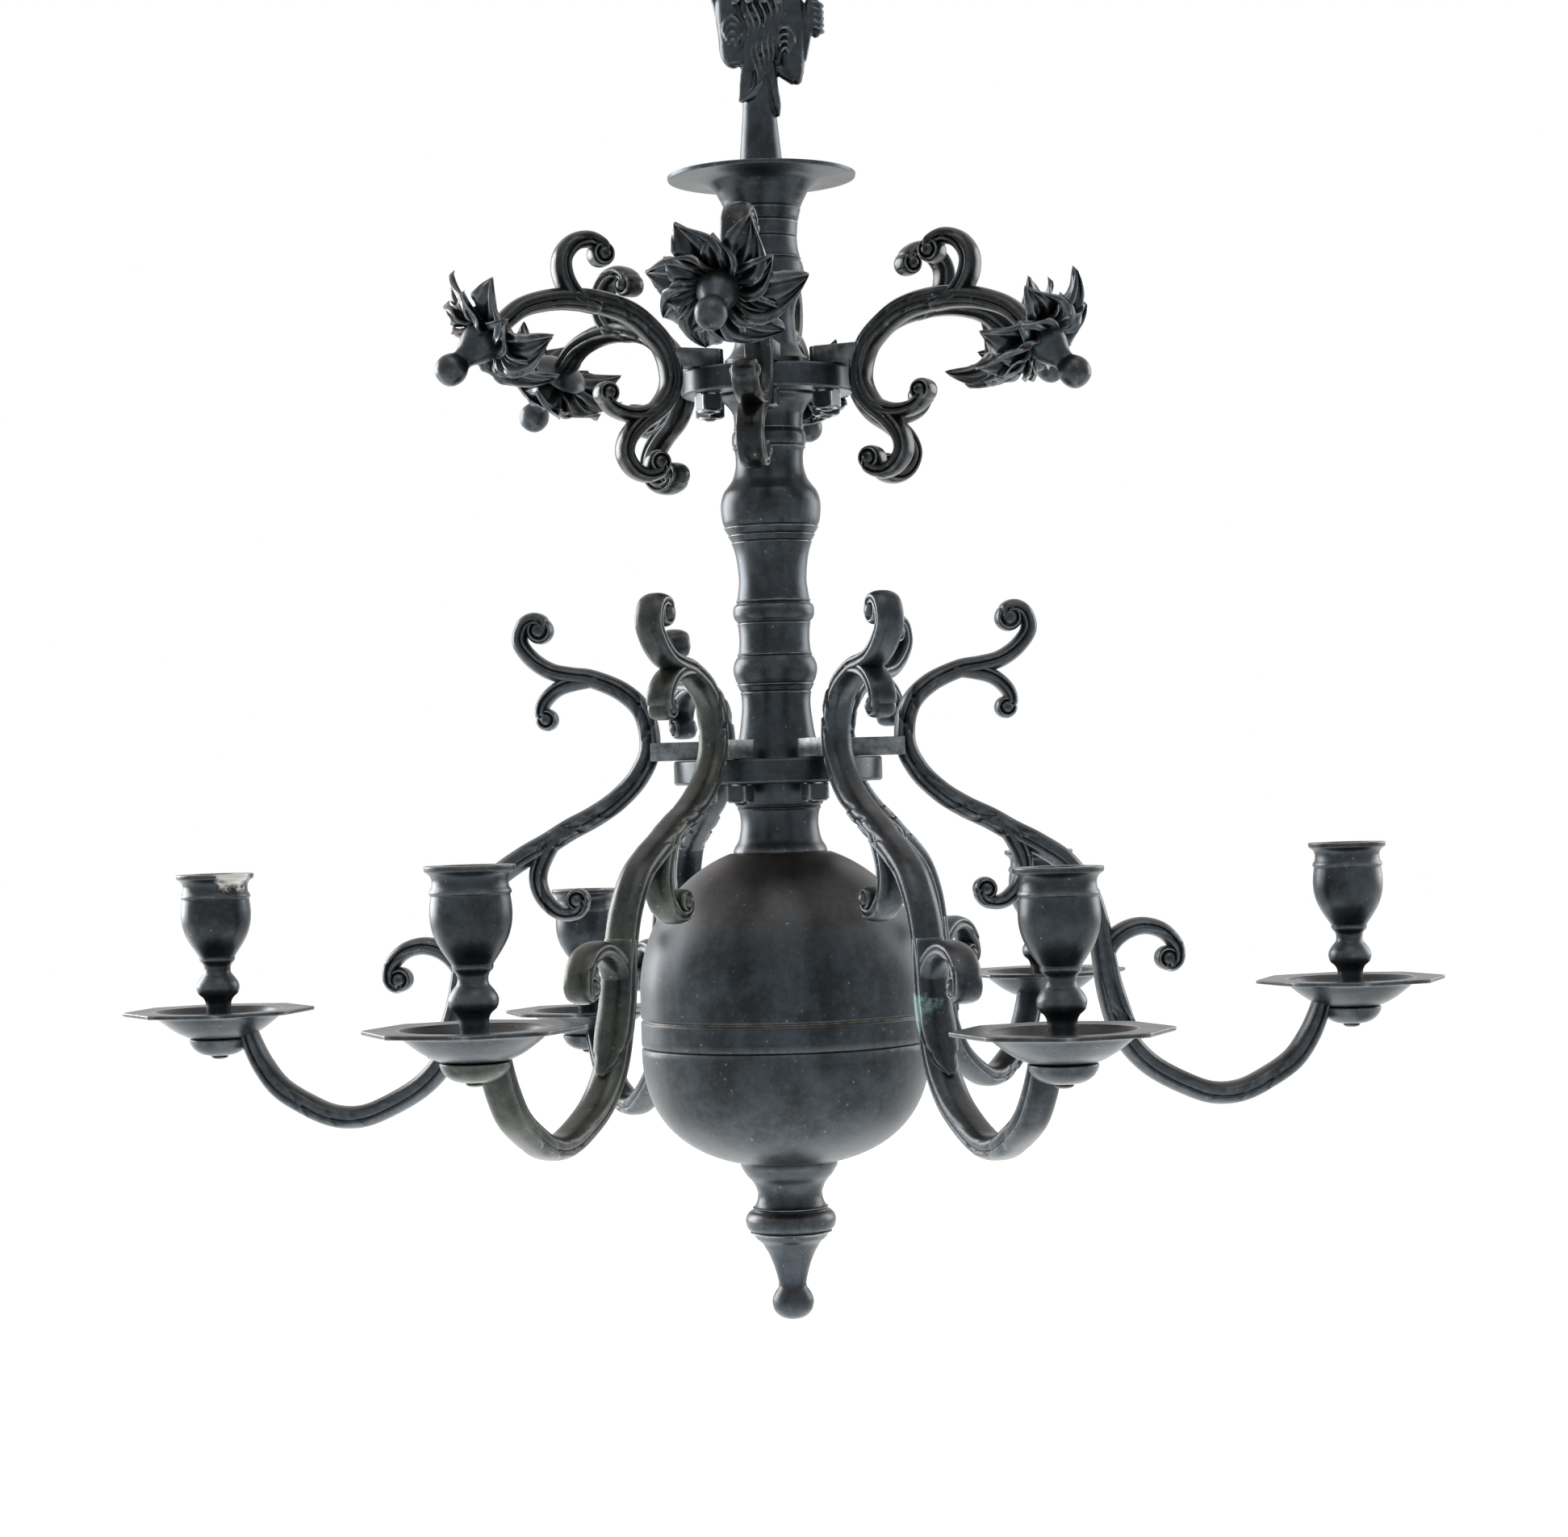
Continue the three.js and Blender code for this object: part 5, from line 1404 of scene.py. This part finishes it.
# The same for limbs that both sides have, drawn on the right
EAGLE_PAIRS = [
    # Wing bone and web, neck, and the two halves of a hooked beak
    ([(8, 0, 118), (17, 0, 133), (29, 0, 146), (42, 0, 153.4), (53, 0, 151.6), (59.6, 0, 141)],
     [(0, 7, 6), (0.3, 5, 4.4), (0.7, 3.8, 3.6), (1, 1.6, 2)], 18),
    ([(16, 0, 120), (30, 0, 128), (44, 0, 134), (55, 0, 134)],
     [(0, 10, 1.6), (0.5, 13, 1.5), (1, 8, 1.2)], 20),
    ([(3, 0, 126), (8, 0, 138), (13.6, 0, 148), (19, 0, 152.6)],
     [(0, 9, 8), (0.4, 6.4, 6), (0.8, 5.4, 5), (1, 5.2, 4.8)], 20),
    ([(24.6, 0, 153), (29, 0, 152.4), (32, 0, 149.6), (32.6, 0, 145.8)],
     [(0, 3.4, 3.2), (0.5, 2.6, 2.2), (0.8, 1.6, 1.4), (1, 0.4, 0.4)], 14),
    ([(25, 0, 149.8), (29.6, 0, 148.2)], [(0, 1.6, 2), (1, 0.8, 1)], 10),
    # Brows, and the crest behind each head
    *[([(19.6, face * 4.4, 156.2), (22.6, face * 4.8, 156.4), (25.4, face * 3.6, 155)],
       [(0, 0.7, 0.7), (0.5, 1, 1), (1, 0.5, 0.5)], 8) for face in (-1, 1)],
    *[([(17 - k, 0, 156 - k * 3.4), (12.6 - k, 0, 157.6 - k * 3.6), (9.6 - k * 0.6, 0, 156.4 - k * 3.8)],
       [(0, 2, 2.2), (0.6, 1.5, 1.6), (1, 0.4, 0.5)], 10) for k in range(4)],
]

# Round forms, as middle and three radii: body, left foot, knob of the right rod, heads and eyeballs
EAGLE_EGGS = [
    ((0, 0, 112), (17, 12, 26)), ((-12.2, -3, 70), (6.8, 6.4, 10.4)), ((28.8, -0.6, 84), (4.2, 4.6, 10)),
    *[((side * 20.4, 0, 152.6), (6.4, 5, 5.2)) for side in (-1, 1)],
    *[((side * 22.4, face * 4.4, 154), (1.5, 1.1, 1.5)) for side in (-1, 1) for face in (-1, 1)],
]

FEATHER_SIZE = (20, 8)
PLUME = [(0, 0.55), (0.15, 0.9), (0.45, 1), (0.75, 0.86), (0.9, 0.55), (1, 0.1)]


def hoop(name, middle, radius, wire, around, sides, marks=0.0):
    """A closed ring of wire that stands across x, in millimetres. wire is its half thickness across the
    ring's plane and in it, and marks how deep its hammer marks are."""
    points = []
    for a in np.arange(around) * 2 * math.pi / around:
        centre = Vector((0, math.cos(a), math.sin(a))) * radius + Vector(middle)
        for b in np.arange(sides) * 2 * math.pi / sides:
            out = Vector((math.sin(b), math.cos(a) * math.cos(b), math.sin(a) * math.cos(b)))
            mark = noise.noise((centre + out * 3) * 0.35) * marks
            across, within = wire[0] + mark, wire[1] + mark
            points.append((centre + out * Vector((across, within, within))) * MM)
    return mesh_from(name, points, net(around, sides, closed=True))


class CHANDELIER_OT_eagle(bpy.types.Operator):
    """Casts the two-headed spread eagle with its conical foot and the eye for the ring"""
    bl_idname = "chandelier.eagle"
    bl_label = "Eagle"

    def execute(self, context):
        foot_line = outline([
            [(0, 0), (12, 0)],
            [(11.9, 1), (11.2, 8), (10.2, 18), (9.2, 29), (8.4, 38), (8.2, 46)],
            [(0, 46)],
        ])
        parts = [turned("foot", foot_line, sides=48)]
        parts += [limb(*row) for row in EAGLE_LIMBS + plume_lines()]
        parts += [limb([(side * x, y, z) for x, y, z in line], sizes, sides)
                  for side in (-1, 1) for line, sizes, sides in EAGLE_PAIRS]
        parts += [egg(*row) for row in EAGLE_EGGS]
        eye = hoop("eye", (0, 0, 170), radius=7.75, wire=(2.95, 2.3), around=48, sides=16)
        eye.transform(Matrix.Rotation(math.radians(90), 4, "Z"))
        parts.append(eye)
        quill = blade("quill", *FEATHER_SIZE, thick=1.7, widths=PLUME, ridges=2.0, ridge_depth=0.42,
                      cup=-0.12, across=16)
        down = blade("down", *FEATHER_SIZE, thick=2.2, widths=PLUME, ridges=1.0, ridge_depth=0.4, cup=-0.2,
                     steps=14, across=10)
        feathers = [row for side in (-1, 1) for face in (-1, 1) for row in wing_rows(side, face)]
        parts.append(laid("wings", quill, feathers, FEATHER_SIZE[0], "cast_bronze"))
        parts.append(laid("breast", down, breast_rows(), FEATHER_SIZE[0], "cast_bronze"))
        skin = fused("skin", merged("parts", *parts), voxel=0.68, smoothing=1)
        piece("eagle", skin, "cast_figure", "cast_bronze",
              Matrix.Translation((0, 0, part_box("cast_figure")[0].z)), sharp=80)
        return {"FINISHED"}


class CHANDELIER_OT_rod_and_ring(bpy.types.Operator):
    """Forges the suspension ring and gives the hidden rod its iron"""
    bl_idname = "chandelier.rod_and_ring"
    bl_label = "Rod and ring"

    def execute(self, context):
        rod = frame["nodes"]["central_rod"]
        rod.data.materials.clear()
        rod.data.materials.append(finish("old_iron"))
        ring = hoop("forged_ring", (0, 0, -17), radius=20, wire=(2.85, 2.85), around=96, sides=20, marks=0.12)
        piece("forged_ring", ring, "suspension_ring", "old_iron")
        return {"FINISHED"}


OPERATORS = (
    CHANDELIER_OT_stage, CHANDELIER_OT_stem, CHANDELIER_OT_plates, CHANDELIER_OT_ball, CHANDELIER_OT_finial,
    CHANDELIER_OT_nuts, CHANDELIER_OT_candle_arms, CHANDELIER_OT_pans, CHANDELIER_OT_cups,
    CHANDELIER_OT_scroll_arms, CHANDELIER_OT_flowers, CHANDELIER_OT_pistils, CHANDELIER_OT_eagle,
    CHANDELIER_OT_rod_and_ring,
)


class CHANDELIER_PT_panel(bpy.types.Panel):
    """Lists the chandelier's settings and the steps that make it"""
    bl_label = "Candle chandelier"
    bl_idname = "CHANDELIER_PT_panel"
    bl_space_type = "VIEW_3D"
    bl_region_type = "UI"
    bl_category = "Chandelier"

    def draw(self, context):
        for kind in GROUPS:
            group = getattr(context.scene, kind)
            box = self.layout.box()
            for name in group.__annotations__:
                box.prop(group, name)
        for operator in OPERATORS:
            self.layout.operator(operator.bl_idname)


CLASSES = (*GROUPS.values(), *OPERATORS, CHANDELIER_PT_panel)


def register():
    for made in CLASSES:
        bpy.utils.register_class(made)
    for kind, group in GROUPS.items():
        setattr(bpy.types.Scene, kind, bpy.props.PointerProperty(type=group))


def unregister():
    for kind in GROUPS:
        delattr(bpy.types.Scene, kind)
    for made in reversed(CLASSES):
        bpy.utils.unregister_class(made)


def main():
    register()
    for operator in OPERATORS:
        group, name = operator.bl_idname.split(".")
        getattr(getattr(bpy.ops, group), name)()


if __name__ == "__main__":
    main()
